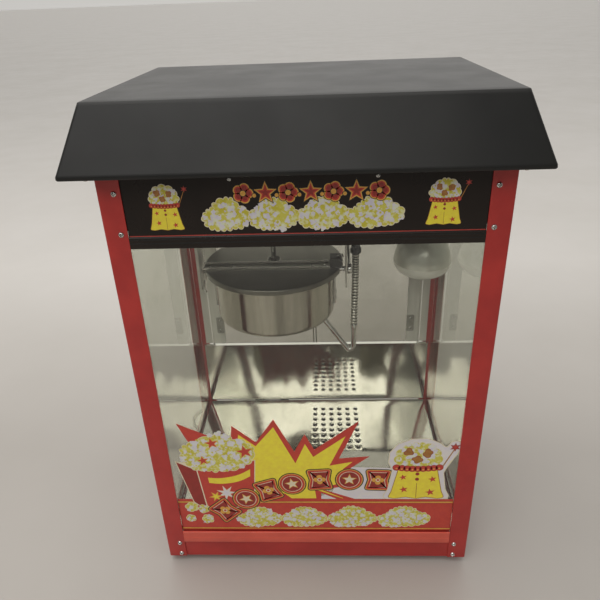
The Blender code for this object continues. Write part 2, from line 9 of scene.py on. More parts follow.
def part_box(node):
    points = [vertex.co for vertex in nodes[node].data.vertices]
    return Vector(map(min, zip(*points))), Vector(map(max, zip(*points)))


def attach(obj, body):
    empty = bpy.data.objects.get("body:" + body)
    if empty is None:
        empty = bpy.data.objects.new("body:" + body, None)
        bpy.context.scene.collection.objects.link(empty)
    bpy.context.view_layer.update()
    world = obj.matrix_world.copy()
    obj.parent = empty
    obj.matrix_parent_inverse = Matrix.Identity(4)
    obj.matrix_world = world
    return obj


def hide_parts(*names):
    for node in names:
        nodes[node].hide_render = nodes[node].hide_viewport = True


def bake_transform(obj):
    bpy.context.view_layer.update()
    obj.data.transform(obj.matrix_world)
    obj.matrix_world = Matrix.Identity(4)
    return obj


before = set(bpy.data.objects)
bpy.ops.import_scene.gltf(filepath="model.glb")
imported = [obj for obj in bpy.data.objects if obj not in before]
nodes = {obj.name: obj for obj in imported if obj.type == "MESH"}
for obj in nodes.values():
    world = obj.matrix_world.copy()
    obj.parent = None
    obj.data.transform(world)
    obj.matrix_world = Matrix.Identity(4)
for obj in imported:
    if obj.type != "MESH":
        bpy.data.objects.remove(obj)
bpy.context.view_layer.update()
scene = bpy.context.scene

# The machine's main places, in metres: -Y is the customer's side and +Y the operator's.
BODY_HALF = 0.2535
BODY_FRONT = -0.165
BODY_REAR = 0.195
POST_LOW = 0.012
POST_HIGH = 0.6865
FLANGE = 0.03
GLASS_FACE = -0.1617
HEADER_FACE = -0.1632
KETTLE_X = -0.057
LAMP = (0.1845, 0.045)
CONDUIT_X = 0.0722
TILT_Z = 0.48
NEAR = 1e-5
TAU = 2 * math.pi
# Each turns an outline's two numbers and its level so that the level runs along the named axis.
AXES = {
    "X": Matrix(((0, 0, 1), (1, 0, 0), (0, 1, 0))),
    "Y": Matrix(((1, 0, 0), (0, 0, 1), (0, 1, 0))),
    "Z": Matrix.Identity(3),
}


# Materials -------------------------------------------------------------------------------------

def colour(code):
    """A hexadecimal display colour as the linear colour that shaders use."""
    parts = [int(code[i:i + 2], 16) / 255 for i in (0, 2, 4)]
    linear = [p / 12.92 if p <= 0.04045 else ((p + 0.055) / 1.055) ** 2.4 for p in parts]
    return (*linear, 1)


class Nodes:
    """A material's node tree, built one named node at a time."""

    def __init__(self, name):
        self.material = bpy.data.materials.new(name)
        self.material.use_nodes = True
        self.tree = self.material.node_tree
        self.shader = self.tree.nodes["Principled BSDF"]
        self.output = self.tree.nodes["Material Output"]
        coordinates = self.tree.nodes.new("ShaderNodeTexCoord")
        self.place = coordinates.outputs["Object"]

    def new(self, kind, **inputs):
        node = self.tree.nodes.new("ShaderNode" + kind)
        for name, value in inputs.items():
            self.put(node.inputs[name.replace("_", " ")], value)
        return node

    def put(self, socket, value):
        if isinstance(value, bpy.types.NodeSocket):
            self.tree.links.new(value, socket)
        else:
            socket.default_value = value

    def stretched(self, scale):
        """Object coordinates stretched along an axis, for grain that runs one way."""
        return self.new("Mapping", Vector=self.place, Scale=scale).outputs["Vector"]

    def noise(self, scale, detail=3.0, roughness=0.55, stretch=(1, 1, 1)):
        texture = self.new("TexNoise", Vector=self.stretched(stretch), Scale=scale, Detail=detail,
                           Roughness=roughness)
        return texture.outputs["Fac"]

    def spread(self, value, low, high, start=0.35, end=0.65):
        """A noise value spread out from low to high."""
        node = self.new("MapRange", Value=value, From_Min=start, From_Max=end, To_Min=low, To_Max=high)
        return node.outputs["Result"]

    def blend(self, factor, first, second):
        node = self.tree.nodes.new("ShaderNodeMix")
        node.data_type = "RGBA"
        self.put(node.inputs["Factor"], factor)
        self.put(node.inputs[6], first)
        self.put(node.inputs[7], second)
        return node.outputs[2]

    def bump(self, height, strength, distance):
        node = self.new("Bump", Height=height, Strength=strength, Distance=distance)
        return node.outputs["Normal"]

    def set(self, **inputs):
        for name, value in inputs.items():
            self.put(self.shader.inputs[name.replace("_", " ")], value)


def finish(name, first, second, rough, grain=90, fine=900, stretch=(1, 1, 1), relief=0.00004, **shader):
    """A surface whose colour, roughness and relief all vary a little, with other sockets given by name."""
    n = Nodes(name)
    cloud = n.noise(grain, stretch=stretch)
    n.set(Base_Color=n.blend(n.spread(cloud, 0, 1), colour(first), colour(second)))
    n.set(Roughness=n.spread(n.noise(grain * 1.7, stretch=stretch), *rough))
    n.set(Normal=n.bump(n.noise(fine, 2.0, stretch=stretch), 0.6, relief))
    n.set(**shader)
    return n.material


def mirror_steel(name, first, second, rough, wave=7.0, depth=0.0006):
    """Polished sheet: nearly a mirror, with the slow waves and faint wiping marks of thin sheet."""
    n = Nodes(name)
    smear = n.noise(16, 5.0, 0.65, (1, 0.35, 1))
    n.set(Base_Color=n.blend(n.spread(smear, 0, 1), colour(first), colour(second)))
    n.set(Metallic=1.0)
    n.set(Roughness=n.spread(smear, *rough))
    waves = n.bump(n.noise(wave, 1.0), 0.5, depth)
    scratches = n.new("Bump", Height=n.noise(240, 2.0, 0.6, (1, 6, 1)), Strength=0.15, Distance=0.000005,
                      Normal=waves)
    n.set(Normal=scratches.outputs["Normal"])
    return n.material


def kettle_steel():
    """The spun jacket, with broad painted reflection bands in its colour that run from rim to base."""
    n = Nodes("kettle_steel")
    # Broad lighter and darker bands from rim to base in the colour: painted reflection bands.
    reflection_bands = n.noise(34, 4.0, 0.6, (1, 1, 0.06))
    n.set(Base_Color=n.blend(n.spread(reflection_bands, 0, 1, 0.3, 0.7), colour("8A867A"), colour("C0BCAF")))
    n.set(Metallic=1.0)
    n.set(Roughness=n.spread(n.noise(90, 3.0, 0.6, (1, 1, 0.1)), 0.1, 0.24))
    n.set(Normal=n.bump(n.noise(420, 3.0, 0.6, (1, 1, 0.05)), 0.3, 0.00003))
    return n.material


def brushed_steel(name, first, second, rough, stretch):
    """Steel with a fine grain that runs along the axis with the smallest stretch."""
    n = Nodes(name)
    grain = n.noise(300, 3.0, 0.6, stretch)
    n.set(Base_Color=n.blend(n.spread(grain, 0, 1), colour(first), colour(second)))
    n.set(Metallic=1.0)
    n.set(Roughness=n.spread(n.noise(60, 3.0, 0.6, stretch), *rough))
    n.set(Normal=n.bump(grain, 0.35, 0.00003))
    return n.material


def clear_glass(name, tint, smear, smudge):
    """Glass that lets light through to what stands behind it, with faint wiping marks."""
    n = Nodes(name)
    marks = n.noise(14, 5.0, 0.7)
    n.set(Base_Color=n.blend(n.spread(marks, 0, 1), colour(tint), colour(smear)))
    n.set(Roughness=n.spread(marks, 0.0, smudge))
    n.set(Normal=n.bump(n.noise(5, 1.0), 0.1, 0.0002))
    n.set(Transmission_Weight=1.0)
    n.set(IOR=1.45)
    clear = n.new("BsdfTransparent", Color=colour(tint))
    path = n.new("LightPath")
    mix = n.new("MixShader")
    n.put(mix.inputs[0], path.outputs["Is Shadow Ray"])
    n.put(mix.inputs[1], n.shader.outputs["BSDF"])
    n.put(mix.inputs[2], clear.outputs["BSDF"])
    n.put(n.output.inputs["Surface"], mix.outputs["Shader"])
    return n.material


def lamp_glass():
    """A reflector lamp: silvered inside above its widest ring, frosted white below it."""
    n = Nodes("lamp_glass")
    height = n.new("SeparateXYZ", Vector=n.place).outputs["Z"]
    silvered = n.spread(height, 0, 1, 0.47, 0.4735)
    cloud = n.noise(40, 3.0)
    frosted = n.blend(n.spread(cloud, 0, 1), colour("F4F3EA"), colour("ECEBE1"))
    silver = n.blend(n.spread(cloud, 0, 1), colour("DCDDD1"), colour("D0D1C5"))
    n.set(Base_Color=n.blend(silvered, frosted, silver))
    n.set(Metallic=n.spread(height, 0, 0.35, 0.47, 0.4735))
    n.set(Roughness=n.spread(height, 0.34, 0.26, 0.47, 0.4735))
    n.set(Normal=n.bump(n.noise(1500, 2.0), 0.3, 0.00003))
    n.set(Coat_Weight=0.6)
    return n.material


def ink(name, first, second, grain=140):
    """Printed film: an even ink with a faint mottle, under a thin gloss."""
    n = Nodes("ink_" + name)
    mottle = n.noise(grain, 4.0, 0.6)
    n.set(Base_Color=n.blend(n.spread(mottle, 0, 1), colour(first), colour(second)))
    n.set(Roughness=n.spread(n.noise(60), 0.32, 0.46))
    n.set(Normal=n.bump(n.noise(700, 2.0), 0.3, 0.00002))
    n.set(Coat_Weight=0.15)
    return n.material


def popcorn_ink(name, first, second, third):
    """The airbrushed popcorn of the prints: three tints that run softly into each other."""
    n = Nodes("ink_" + name)
    patches = n.noise(120, 1.0, 0.5)
    shade = n.noise(210, 1.0, 0.5)
    body = n.blend(n.spread(patches, 0, 1, 0.42, 0.58), colour(first), colour(second))
    n.set(Base_Color=n.blend(n.spread(shade, 0, 0.8, 0.5, 0.62), body, colour(third)))
    n.set(Roughness=n.spread(n.noise(60), 0.34, 0.46))
    n.set(Normal=n.bump(n.noise(700, 2.0), 0.3, 0.00002))
    return n.material


RED_PAINT = finish("red_paint", "B82B24", "A9231E", (0.3, 0.42), 22, 1400, relief=0.00005, Coat_Weight=0.25)
RAIL_PAINT = finish("rail_paint", "DE5C48", "D25442", (0.28, 0.38), 22, 1400, relief=0.00004, Coat_Weight=0.3)
BLACK_PAINT = finish("black_paint", "181817", "1E1E1C", (0.36, 0.41), 9, 1500, relief=0.00005,
                     Specular_IOR_Level=0.34)
HEADER_PAINT = finish("header_paint", "1B130E", "211812", (0.26, 0.34), 18, 1100, relief=0.00003,
                      Specular_IOR_Level=0.34)
MIRROR = mirror_steel("polished_steel", "D2D0C8", "C6C4BB", (0.05, 0.13))
KETTLE_STEEL = kettle_steel()
# Polished steel with a darkened colour: painted shade on the half lids and the bar's channel.
SHADED_LID_STEEL = finish("lid_steel_painted_shade", "74736B", "66655D", (0.285, 0.33), 12, 60, relief=0.00002, Metallic=1.0)
BRUSHED_X = brushed_steel("brushed_steel_x", "ABA9A2", "9B9992", (0.22, 0.36), (0.08, 1, 1))
BRUSHED_Z = brushed_steel("brushed_steel_z", "B0AEA7", "A09E97", (0.2, 0.34), (1, 1, 0.08))
BAR_STEEL = finish("bar_steel", "C2C0B8", "B2B0A8", (0.2, 0.27), 14, 700, (0.3, 1, 1), 0.00001, Metallic=1.0)
# The chamber's steel ceiling as a dark grey non-metal: painted shade.
CEILING_SHADE = finish("ceiling_painted_shade", "5A5852", "504E49", (0.42, 0.54), 40, 900, relief=0.00003)
PLATE_STEEL = finish("plate_steel", "A9A79F", "9B9991", (0.36, 0.46), 90, 900, relief=0.00002, Metallic=0.2)
# A dark steel for the conduit's grooves: painted shade.
CONDUIT_GROOVE_SHADE = finish("conduit_groove_shade", "4A4843", "3E3C38", (0.4, 0.5), 60, 900, relief=0.00002, Metallic=0.5)
# Pale non-metallic steel for the stiles and hinge leaves that stand in the cabinet's shade: painted light.
PALE_LIT_STEEL = finish("satin_steel_painted_light", "DAD8D0", "CECCC4", (0.42, 0.55), 60, 900, (1, 1, 0.1), 0.00003)
CONDUIT_STEEL = finish("conduit_steel", "CFCCC1", "C2BFB4", (0.26, 0.34), 30, 900, relief=0.00001,
                       Metallic=0.8)
PAN_STEEL = brushed_steel("pan_steel", "A8A49A", "8F8B80", (0.25, 0.42), (1, 1, 0.2))
CHROME = finish("chrome", "D4D4D0", "C6C6C2", (0.06, 0.16), 60, 900, relief=0.00001, Metallic=1.0)
CAST = finish("cast_metal", "6E6E6C", "5E5E5C", (0.45, 0.62), 120, 700, relief=0.0001, Metallic=0.8)
GLASS = clear_glass("clear_glass", "F8F9F5", "F2F3ED", 0.03)
SIDE_GLASS = clear_glass("side_glass", "E4E5DD", "DDDFD5", 0.03)
# The doors' grey tint: partly their tinted film, partly painted shade on what is seen through them.
DOOR_GLASS = clear_glass("door_glass", "C2C1B8", "B9B8AF", 0.04)
LAMP_GLASS = lamp_glass()
RUBBER = finish("rubber", "1B1B1B", "262524", (0.62, 0.8), 160, 1200, relief=0.0001)
PLASTIC = finish("black_plastic", "1E1E1E", "282826", (0.38, 0.52), 90, 1600, relief=0.00006)
CERAMIC = finish("ceramic", "DCD8CC", "CFCABC", (0.14, 0.24), 50, 500, relief=0.00004, Coat_Weight=0.5)
CORD_SHEATH = finish("cord_sheath", "191919", "242322", (0.48, 0.62), 60, 900, relief=0.00008)
SWITCH_RED, SWITCH_GREEN = (
    finish("switch_" + name, first, second, (0.18, 0.3), 60, 900, relief=0.00002, Coat_Weight=0.3)
    for name, first, second in (("red", "B03028", "A22A24"), ("green", "3E9150", "358446")))
TIE = finish("tie", "E8E6E0", "D8D6D0", (0.4, 0.5), 90, 900, relief=0.00003)
INKS = [ink(name, first, second) for name, first, second in (
    ("red", "C8422F", "C03A30"), ("dark_red", "9C2B22", "8F2720"), ("yellow", "F4E43C", "EED840"),
    ("gold", "E4AC4C", "DA9F40"), ("cream", "E9DEC2", "E0D4B4"), ("white", "DED8DE", "E4DFDA"),
    ("black", "20241A", "26281E"), ("caramel", "B07A34", "9A6428"))]
INKS.append(popcorn_ink("butter", "D2CB54", "C9BE3A", "DDDDB0"))
INKS.append(popcorn_ink("popcorn", "DCD8DC", "D4CEDA", "DFE2C4"))
RED, DARK_RED, YELLOW, GOLD, CREAM, WHITE, BLACK, CARAMEL, BUTTER, POPCORN = range(len(INKS))


# Geometry helpers ------------------------------------------------------------------------------

def to_object(name, bm, materials, sharp=35):
    """A mesh's object, smooth but for the edges sharper than an angle in degrees."""
    bmesh.ops.recalc_face_normals(bm, faces=bm.faces)
    mesh = bpy.data.meshes.new(name)
    bm.to_mesh(mesh)
    bm.free()
    for material in materials:
        mesh.materials.append(material)
    mesh.shade_smooth()
    mesh.set_sharp_from_angle(angle=math.radians(sharp))
    obj = bpy.data.objects.new(name, mesh)
    scene.collection.objects.link(obj)
    return obj


def bevelled(obj, width, segments=3):
    """Gives a piece soft edges."""
    bevel = obj.modifiers.new("edges", "BEVEL")
    bevel.width = width
    bevel.segments = segments
    bevel.limit_method = "ANGLE"
    bevel.angle_limit = math.radians(40)
    bevel.harden_normals = True
    return obj


def settle(obj, body, slot=None, *replaced):
    """Puts a finished piece on its body and hides the CAD nodes that it stands for; the slot is not used."""
    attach(obj, body)
    if replaced:
        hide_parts(*replaced)
    return obj


def add_ring(bm, points):
    """One new vertex for each point."""
    return [bm.verts.new(p) for p in points]


def bridge(bm, first, second, material=0):
    """Faces between two closed rings that have the same number of vertices."""
    for i in range(len(first)):
        j = (i + 1) % len(first)
        bm.faces.new((first[i], first[j], second[j], second[i])).material_index = material


def add_loft(bm, rings, material=0, closed=False):
    """Skins rings of points one after another, with flat ends, or closed back on the first ring."""
    for first, second in zip(rings, rings[1:]):
        bridge(bm, first, second, material)
    if closed:
        bridge(bm, rings[-1], rings[0], material)
    else:
        for ring in (rings[0], rings[-1]):
            bm.faces.new(ring).material_index = material


def add_prism(bm, points, axis, low, high, material=0):
    """A flat outline pushed from low to high along an axis."""
    turn = AXES[axis]
    add_loft(bm, [add_ring(bm, [turn @ Vector((a, b, level)) for a, b in points]) for level in (low, high)],
             material)


def prism(name, points, axis, low, high, material, bevel=0.0):
    """A piece made of one prism, with soft edges where a bevel is given."""
    bm = bmesh.new()
    add_prism(bm, points, axis, low, high)
    obj = to_object(name, bm, [material])
    return bevelled(obj, bevel) if bevel else obj


def rectangle(low, high):
    """A rectangle's four corners, from its lowest one anticlockwise."""
    return [(low[0], low[1]), (high[0], low[1]), (high[0], high[1]), (low[0], high[1])]


def rounded(points, radius, steps=5, closed=True):
    """An outline, or an open line, with its corners made into arcs."""
    points = [Vector(p) for p in points]
    count = len(points)
    result = []
    for i, corner in enumerate(points):
        if not closed and i in (0, count - 1):
            result.append(corner)
            continue
        before, after = points[i - 1] - corner, points[(i + 1) % count] - corner
        half = before.angle(after) / 2
        cut = min(radius / math.tan(half), before.length * 0.49, after.length * 0.49)
        start, end = corner + before.normalized() * cut, corner + after.normalized() * cut
        for step in range(steps + 1):
            t = step / steps
            result.append(start * (1 - t) ** 2 + corner * 2 * t * (1 - t) + end * t ** 2)
    return result


def bent_sheet(line, thickness, radius):
    """The closed outline of a folded sheet whose middle follows a line."""
    line = rounded(line, radius, closed=False)
    left, right = [], []
    for i, point in enumerate(line):
        before = (point - line[i - 1]).normalized() if i else (line[1] - point).normalized()
        after = (line[i + 1] - point).normalized() if i < len(line) - 1 else before
        along = (before + after).normalized()
        side = Vector((-along.y, along.x)) * thickness / 2
        left.append(point + side)
        right.append(point - side)
    return left + right[::-1]


def circle(radius, count, centre=(0, 0)):
    """Evenly spaced points of a circle."""
    return [(centre[0] + radius * math.cos(TAU * i / count), centre[1] + radius * math.sin(TAU * i / count))
            for i in range(count)]


def add_turned(bm, profile, centre, axis="Z", steps=48, material=0, closed=False):
    """A turned body: its profile is (radius, height) pairs, and it closes on the axis or on itself."""
    turn, centre = AXES[axis], Vector(centre)
    rings = []
    for radius, height in profile:
        count = 1 if radius < 1e-6 else steps
        rings.append(add_ring(bm, [centre + turn @ Vector((a, b, height))
                                   for a, b in circle(radius, count)]))
    pairs = list(zip(rings, rings[1:])) + ([(rings[-1], rings[0])] if closed else [])
    for first, second in pairs:
        if len(first) == 1 or len(second) == 1:
            tip, ring = (first[0], second) if len(first) == 1 else (second[0], first)
            for i in range(len(ring)):
                bm.faces.new((tip, ring[i], ring[(i + 1) % len(ring)])).material_index = material
        else:
            bridge(bm, first, second, material)


def turned(name, profile, centre, material, axis="Z", steps=48, closed=False, sharp=35):
    """A piece made of one turned body."""
    bm = bmesh.new()
    add_turned(bm, profile, centre, axis, steps, closed=closed)
    return to_object(name, bm, [material], sharp)


def softened(profile, radius, steps=4):
    """A turned profile with its corners made into small arcs, and its ends kept."""
    return [tuple(p) for p in rounded(profile, radius, steps, closed=False)]


def add_tube(bm, points, radius, sides=16, material=0):
    """A round bar along points. The radius is one number, or a function of the point's number."""
    points = [Vector(p) for p in points]
    size = radius if callable(radius) else (lambda i: radius)
    along = (points[1] - points[0]).normalized()
    side = along.orthogonal().normalized()
    rings = []
    for i, point in enumerate(points):
        before = points[max(i - 1, 0)]
        after = points[min(i + 1, len(points) - 1)]
        new_along = (after - before).normalized()
        side = (along.rotation_difference(new_along) @ side).normalized()
        along = new_along
        other = along.cross(side)
        rings.append(add_ring(bm, [point + (side * a + other * b) for a, b in circle(size(i), sides)]))
    add_loft(bm, rings, material)


def tube(name, points, radius, material, sides=16):
    """A piece made of one round bar."""
    bm = bmesh.new()
    add_tube(bm, points, radius, sides)
    return to_object(name, bm, [material], 50)


def spline_points(points, steps):
    """A smooth line through points, as a Catmull-Rom curve."""
    points = [Vector(p) for p in points]
    ends = [points[0] * 2 - points[1], *points, points[-1] * 2 - points[-2]]
    result = []
    for a, b, c, d in zip(ends, ends[1:], ends[2:], ends[3:]):
        for step in range(steps):
            t = step / steps
            result.append(((b * 2) + (c - a) * t + (a * 2 - b * 5 + c * 4 - d) * t * t
                           + (b * 3 - a - c * 3 + d) * t ** 3) / 2)
    return [*result, points[-1]]


def cut_from(obj, name, bm):
    """Takes a cutter's shape out of a piece, and leaves no cutter behind."""
    cutter = to_object(name, bm, [])
    boolean = obj.modifiers.new(name, "BOOLEAN")
    boolean.object = cutter
    boolean.solver = "EXACT"
    bpy.context.view_layer.update()
    evaluated = obj.evaluated_get(bpy.context.evaluated_depsgraph_get())
    mesh = bpy.data.meshes.new_from_object(evaluated)
    obj.modifiers.clear()
    obj.data = mesh
    bpy.data.objects.remove(cutter)
    mesh.set_sharp_from_angle(angle=math.radians(35))
    return obj


def add_screw(bm, centre, axis, outward, radius=0.004):
    """A pan-head screw with a cross recess, its head standing outward from a face."""
    turn = AXES[axis]
    centre = Vector(centre)
    height = radius * 0.62
    count, levels = 32, 9
    rings = []
    for level in range(levels + 1):
        share = 1 - level / levels
        ring = []
        for a, b in circle(radius * share, count):
            rise = height * math.sqrt(max(0.0, 1 - share ** 2.6))
            narrow, wide = sorted((abs(a), abs(b)))
            if narrow < radius * 0.15 and wide < radius * 0.62:
                rise -= height * 0.75 * min(1, (radius * 0.62 - wide) / (radius * 0.12))
            ring.append(centre + turn @ Vector((a, b, outward * rise)))
        rings.append(add_ring(bm, ring[:1] if level == levels else ring))
    for first, second in zip(rings[:-2], rings[1:-1]):
        bridge(bm, first, second)
    tip, last = rings[-1][0], rings[-2]
    for i in range(count):
        bm.faces.new((tip, last[i], last[(i + 1) % count]))
    bm.faces.new(rings[0])


def screws(name, places, axis, outward, body, radius=0.004):
    """Screws of one kind, in one piece."""
    bm = bmesh.new()
    for place in places:
        add_screw(bm, place, axis, outward, radius)
    return settle(to_object(name, bm, [CHROME], 40), body, "chrome")


# Camera, light and floor -------------------------------------------------------------------------

def camera():
    """The photographer stands a little right of the middle and looks down on the front."""
    yaw, pitch, roll = -0.052875, 0.482233, -0.039854
    forward = Vector((math.sin(yaw) * math.cos(pitch), math.cos(yaw) * math.cos(pitch), -math.sin(pitch)))
    right = Vector((math.cos(yaw), -math.sin(yaw), 0))
    above = right.cross(forward)
    across = right * math.cos(roll) + above * math.sin(roll)
    above = above * math.cos(roll) - right * math.sin(roll)
    data = bpy.data.cameras.new("camera")
    data.sensor_width = 36
    data.lens = 34.687
    obj = bpy.data.objects.new("camera", data)
    turn = Matrix((across, above, -forward)).transposed().to_4x4()
    obj.matrix_world = Matrix.Translation((0.026257, -0.841063, 0.864712)) @ turn
    scene.collection.objects.link(obj)
    scene.camera = obj


def area_light(name, place, target, size, power):
    """A soft lamp that looks from a place to a target. Its size is in metres and its power in watts."""
    data = bpy.data.lights.new(name, "AREA")
    data.shape = "RECTANGLE"
    data.size, data.size_y = size
    data.energy = power
    data.color = (1, 0.98, 0.95)
    obj = bpy.data.objects.new(name, data)
    obj.location = place
    obj.rotation_euler = (Vector(target) - Vector(place)).to_track_quat("-Z", "Y").to_euler()
    scene.collection.objects.link(obj)


def studio():
    """A pale room: bright behind the machine and above it, darker behind the photographer."""
    scene.view_settings.view_transform = "Standard"
    world = bpy.data.worlds.new("studio")
    scene.world = world
    world.use_nodes = True
    tree = world.node_tree
    coordinates = tree.nodes.new("ShaderNodeTexCoord")
    direction = tree.nodes.new("ShaderNodeSeparateXYZ")
    rise = tree.nodes.new("ShaderNodeMath")
    rise.operation = "MULTIPLY_ADD"
    rise.inputs[1].default_value = 0.9
    share = tree.nodes.new("ShaderNodeMapRange")
    share.inputs["From Min"].default_value = -0.9
    share.inputs["From Max"].default_value = 1.35
    ramp = tree.nodes.new("ShaderNodeValToRGB")
    stops = ((0.0, (0.1, 0.1, 0.1, 1)), (0.25, (0.17, 0.17, 0.17, 1)), (0.86, (0.56, 0.545, 0.52, 1)),
             (1.0, (1.0, 0.98, 0.95, 1)))
    for number, (position, value) in enumerate(stops):
        stop = ramp.color_ramp.elements[number] if number < 2 else ramp.color_ramp.elements.new(position)
        stop.position, stop.color = position, value
    tree.links.new(coordinates.outputs["Generated"], direction.inputs["Vector"])
    tree.links.new(direction.outputs["Z"], rise.inputs[0])
    tree.links.new(direction.outputs["Y"], rise.inputs[2])
    tree.links.new(rise.outputs[0], share.inputs["Value"])
    tree.links.new(share.outputs["Result"], ramp.inputs["Fac"])
    tree.links.new(ramp.outputs["Color"], tree.nodes["Background"].inputs["Color"])
    tree.nodes["Background"].inputs["Strength"].default_value = 1.1
    area_light("ceiling_light", (-0.8, -0.8, 4.0), (0, 0, 0), (4.0, 3.0), 72)
    area_light("front_light", (-1.0, -3.1, 2.75), (0, 0, 0.4), (4.4, 1.3), 44)

    n = Nodes("floor")
    shade = n.noise(1.4, 4.0, 0.6)
    depth = n.new("SeparateXYZ", Vector=n.place).outputs["Y"]
    near = n.blend(n.spread(shade, 0, 1), colour("B7B2AC"), colour("B1ACA6"))
    far = n.blend(n.spread(shade, 0, 1), colour("DEDAD5"), colour("D8D4CE"))
    n.set(Base_Color=n.blend(n.spread(depth, 0, 1, 0.1, 1.1), near, far))
    n.set(Roughness=n.spread(n.noise(6, 3.0), 0.36, 0.46))
    n.set(Normal=n.bump(n.noise(400, 2.0), 0.3, 0.00005))
    bm = bmesh.new()
    bmesh.ops.create_grid(bm, x_segments=24, y_segments=24, size=400)
    to_object("floor", bm, [n.material])


# Cord --------------------------------------------------------------------------------------------

CORD_R = 0.0035
GLAND = (-0.214, 0.202)
GLAND_LOW = 0.629
COIL = (-0.11, 0.2613)
COIL_R = 0.04


def cord_route():
    """The gland, down the rear, the loop on the table, and the coil's three and a half turns."""
    (x, y), low = GLAND, CORD_R + 0.0003
    hanging = [(x, y, GLAND_LOW - 0.0003), (x, y, 0.618), (-0.2162, y, 0.604), (-0.221, y, 0.588),
               (-0.2268, y, 0.567), (-0.2318, y, 0.542), (-0.235, y, 0.512), (-0.2363, 0.2015, 0.47),
               (-0.2366, 0.2012, 0.37), (-0.2362, 0.201, 0.26), (-0.2358, 0.201, 0.17),
               (-0.2356, 0.2012, 0.095), (-0.2356, 0.2022, 0.056), (-0.2356, 0.2062, 0.033),
               (-0.236, 0.215, 0.0145), (-0.238, 0.2275, 0.0055)]
    lying = [(-0.244, 0.2395), (-0.2545, 0.2472), (-0.267, 0.248), (-0.2783, 0.242),
             (-0.2866, 0.2307), (-0.2903, 0.2165), (-0.2884, 0.202), (-0.2818, 0.1882),
             (-0.271, 0.177), (-0.257, 0.17), (-0.241, 0.168), (-0.225, 0.1712),
             (-0.211, 0.179), (-0.199, 0.189), (-0.187, 0.199), (-0.173, 0.208),
             (-0.156, 0.214), (-0.1375, 0.2165)]
    coil = []
    turns, steps, outer, upper = 3.5, 20, 0.0036, 0.0063
    for i in range(int(turns * steps) + 1):
        turn = i / steps
        inward = min(max(turn - 0.85, 0) / 0.3, 1)
        half_way = min(max(turn - 1.85, 0) / 0.3, 1)
        radius = COIL_R + outer * (1 - 2 * inward + half_way)
        angle = TAU * turn - math.pi / 2
        coil.append((COIL[0] + radius * math.cos(angle), COIL[1] + radius * math.sin(angle),
                     low + upper * half_way))
    end = coil[-1]
    tail = [(end[0] - 0.012, end[1] + 0.0003, end[2]), (end[0] - 0.024, end[1] + 0.0003, end[2]),
            (COIL[0] - 0.033, end[1] + 0.0003, end[2])]
    return [*hanging, *((u, v, low) for u, v in lying), *coil, *tail]


def cord():
    """The mains cord, its strain relief, its plug and the tie round its coil."""
    data = bpy.data.curves.new("mains_cord", "CURVE")
    data.dimensions = "3D"
    data.bevel_depth = CORD_R
    data.bevel_resolution = 5
    data.resolution_u = 6
    data.use_fill_caps = True
    route = cord_route()
    spline = data.splines.new("NURBS")
    spline.points.add(len(route) - 1)
    for point, place in zip(spline.points, route):
        point.co = (*place, 1)
    spline.order_u = 4
    spline.use_endpoint_u = True
    data.materials.append(CORD_SHEATH)
    flex = bpy.data.objects.new("mains_cord", data)
    scene.collection.objects.link(flex)
    settle(flex, "cabinet", "cord", "cord", "cord_coil")
    gland = cord_gland()
    plug = mains_plug()
    tie = coil_tie()


def cord_gland():
    """A moulded block on the rear header with a ribbed, tapered sleeve that points down."""
    (x, y), bm = GLAND, bmesh.new()
    corners = rounded(rectangle((x - 0.0085, 0.1935), (x + 0.0085, 0.2095)), 0.003)
    inner = rounded(rectangle((x - 0.0075, 0.1945), (x + 0.0075, 0.2085)), 0.003)
    rings = [add_ring(bm, [(a, b, z) for a, b in outline]) for outline, z in (
        (inner, 0.658), (corners, 0.659), (corners, 0.677), (inner, 0.678))]
    add_loft(bm, rings)
    sleeve = [(0, GLAND_LOW)]
    ribs = 6
    top = 0.659
    for i in range(ribs * 4 + 1):
        share = i / (ribs * 4)
        taper = 0.0043 + 0.0024 * share
        groove = 0.0007 if i % 4 in (2, 3) and 0 < share < 1 else 0.0
        sleeve.append((taper + 0.0003 - groove, GLAND_LOW + (top - GLAND_LOW) * share))
    sleeve.append((0, top))
    add_turned(bm, sleeve, (x, y, 0), steps=32)
    return settle(to_object("strain_relief", bm, [PLASTIC], 40), "cabinet", "black_plastic", "cord_gland")


def mains_plug():
    """A moulded plug with finger grooves and two round pins, lying on the table."""
    end, middle = COIL[0] - 0.0328, COIL[1] + COIL_R
    bm = bmesh.new()
    sections = [(0.0, 0.0045, 0.0062), (0.004, 0.0055, 0.0066), (0.008, 0.0068, 0.0072),
                (0.012, 0.0084, 0.008), (0.016, 0.0104, 0.0088), (0.019, 0.0112, 0.0094),
                (0.021, 0.0106, 0.0092), (0.023, 0.0113, 0.0095), (0.026, 0.0107, 0.0092),
                (0.028, 0.0114, 0.0096), (0.031, 0.0108, 0.0093), (0.033, 0.0114, 0.0096),
                (0.0385, 0.0114, 0.0096), (0.04, 0.0104, 0.0086)]
    rings = []
    for back, half_width, half_height in sections:
        ring = []
        for a, b in circle(1, 36):
            across = math.copysign(abs(a) ** 0.6, a) * half_width
            rise = math.copysign(abs(b) ** 0.6, b) * half_height
            ring.append((end - back, middle + across, 0.01 + rise))
        rings.append(add_ring(bm, ring))
    add_loft(bm, rings)
    for side in (-1, 1):
        pin = softened([(0, 0), (0.002, 0), (0.002, 0.0215), (0, 0.0222)], 0.0006)
        add_turned(bm, [(r, -h) for r, h in pin], (end - 0.039, middle + side * 0.006, 0.01), "X", 20, 1)
    return settle(to_object("mains_plug", bm, [PLASTIC, CHROME], 45), "cabinet", "black_plastic", "plug")


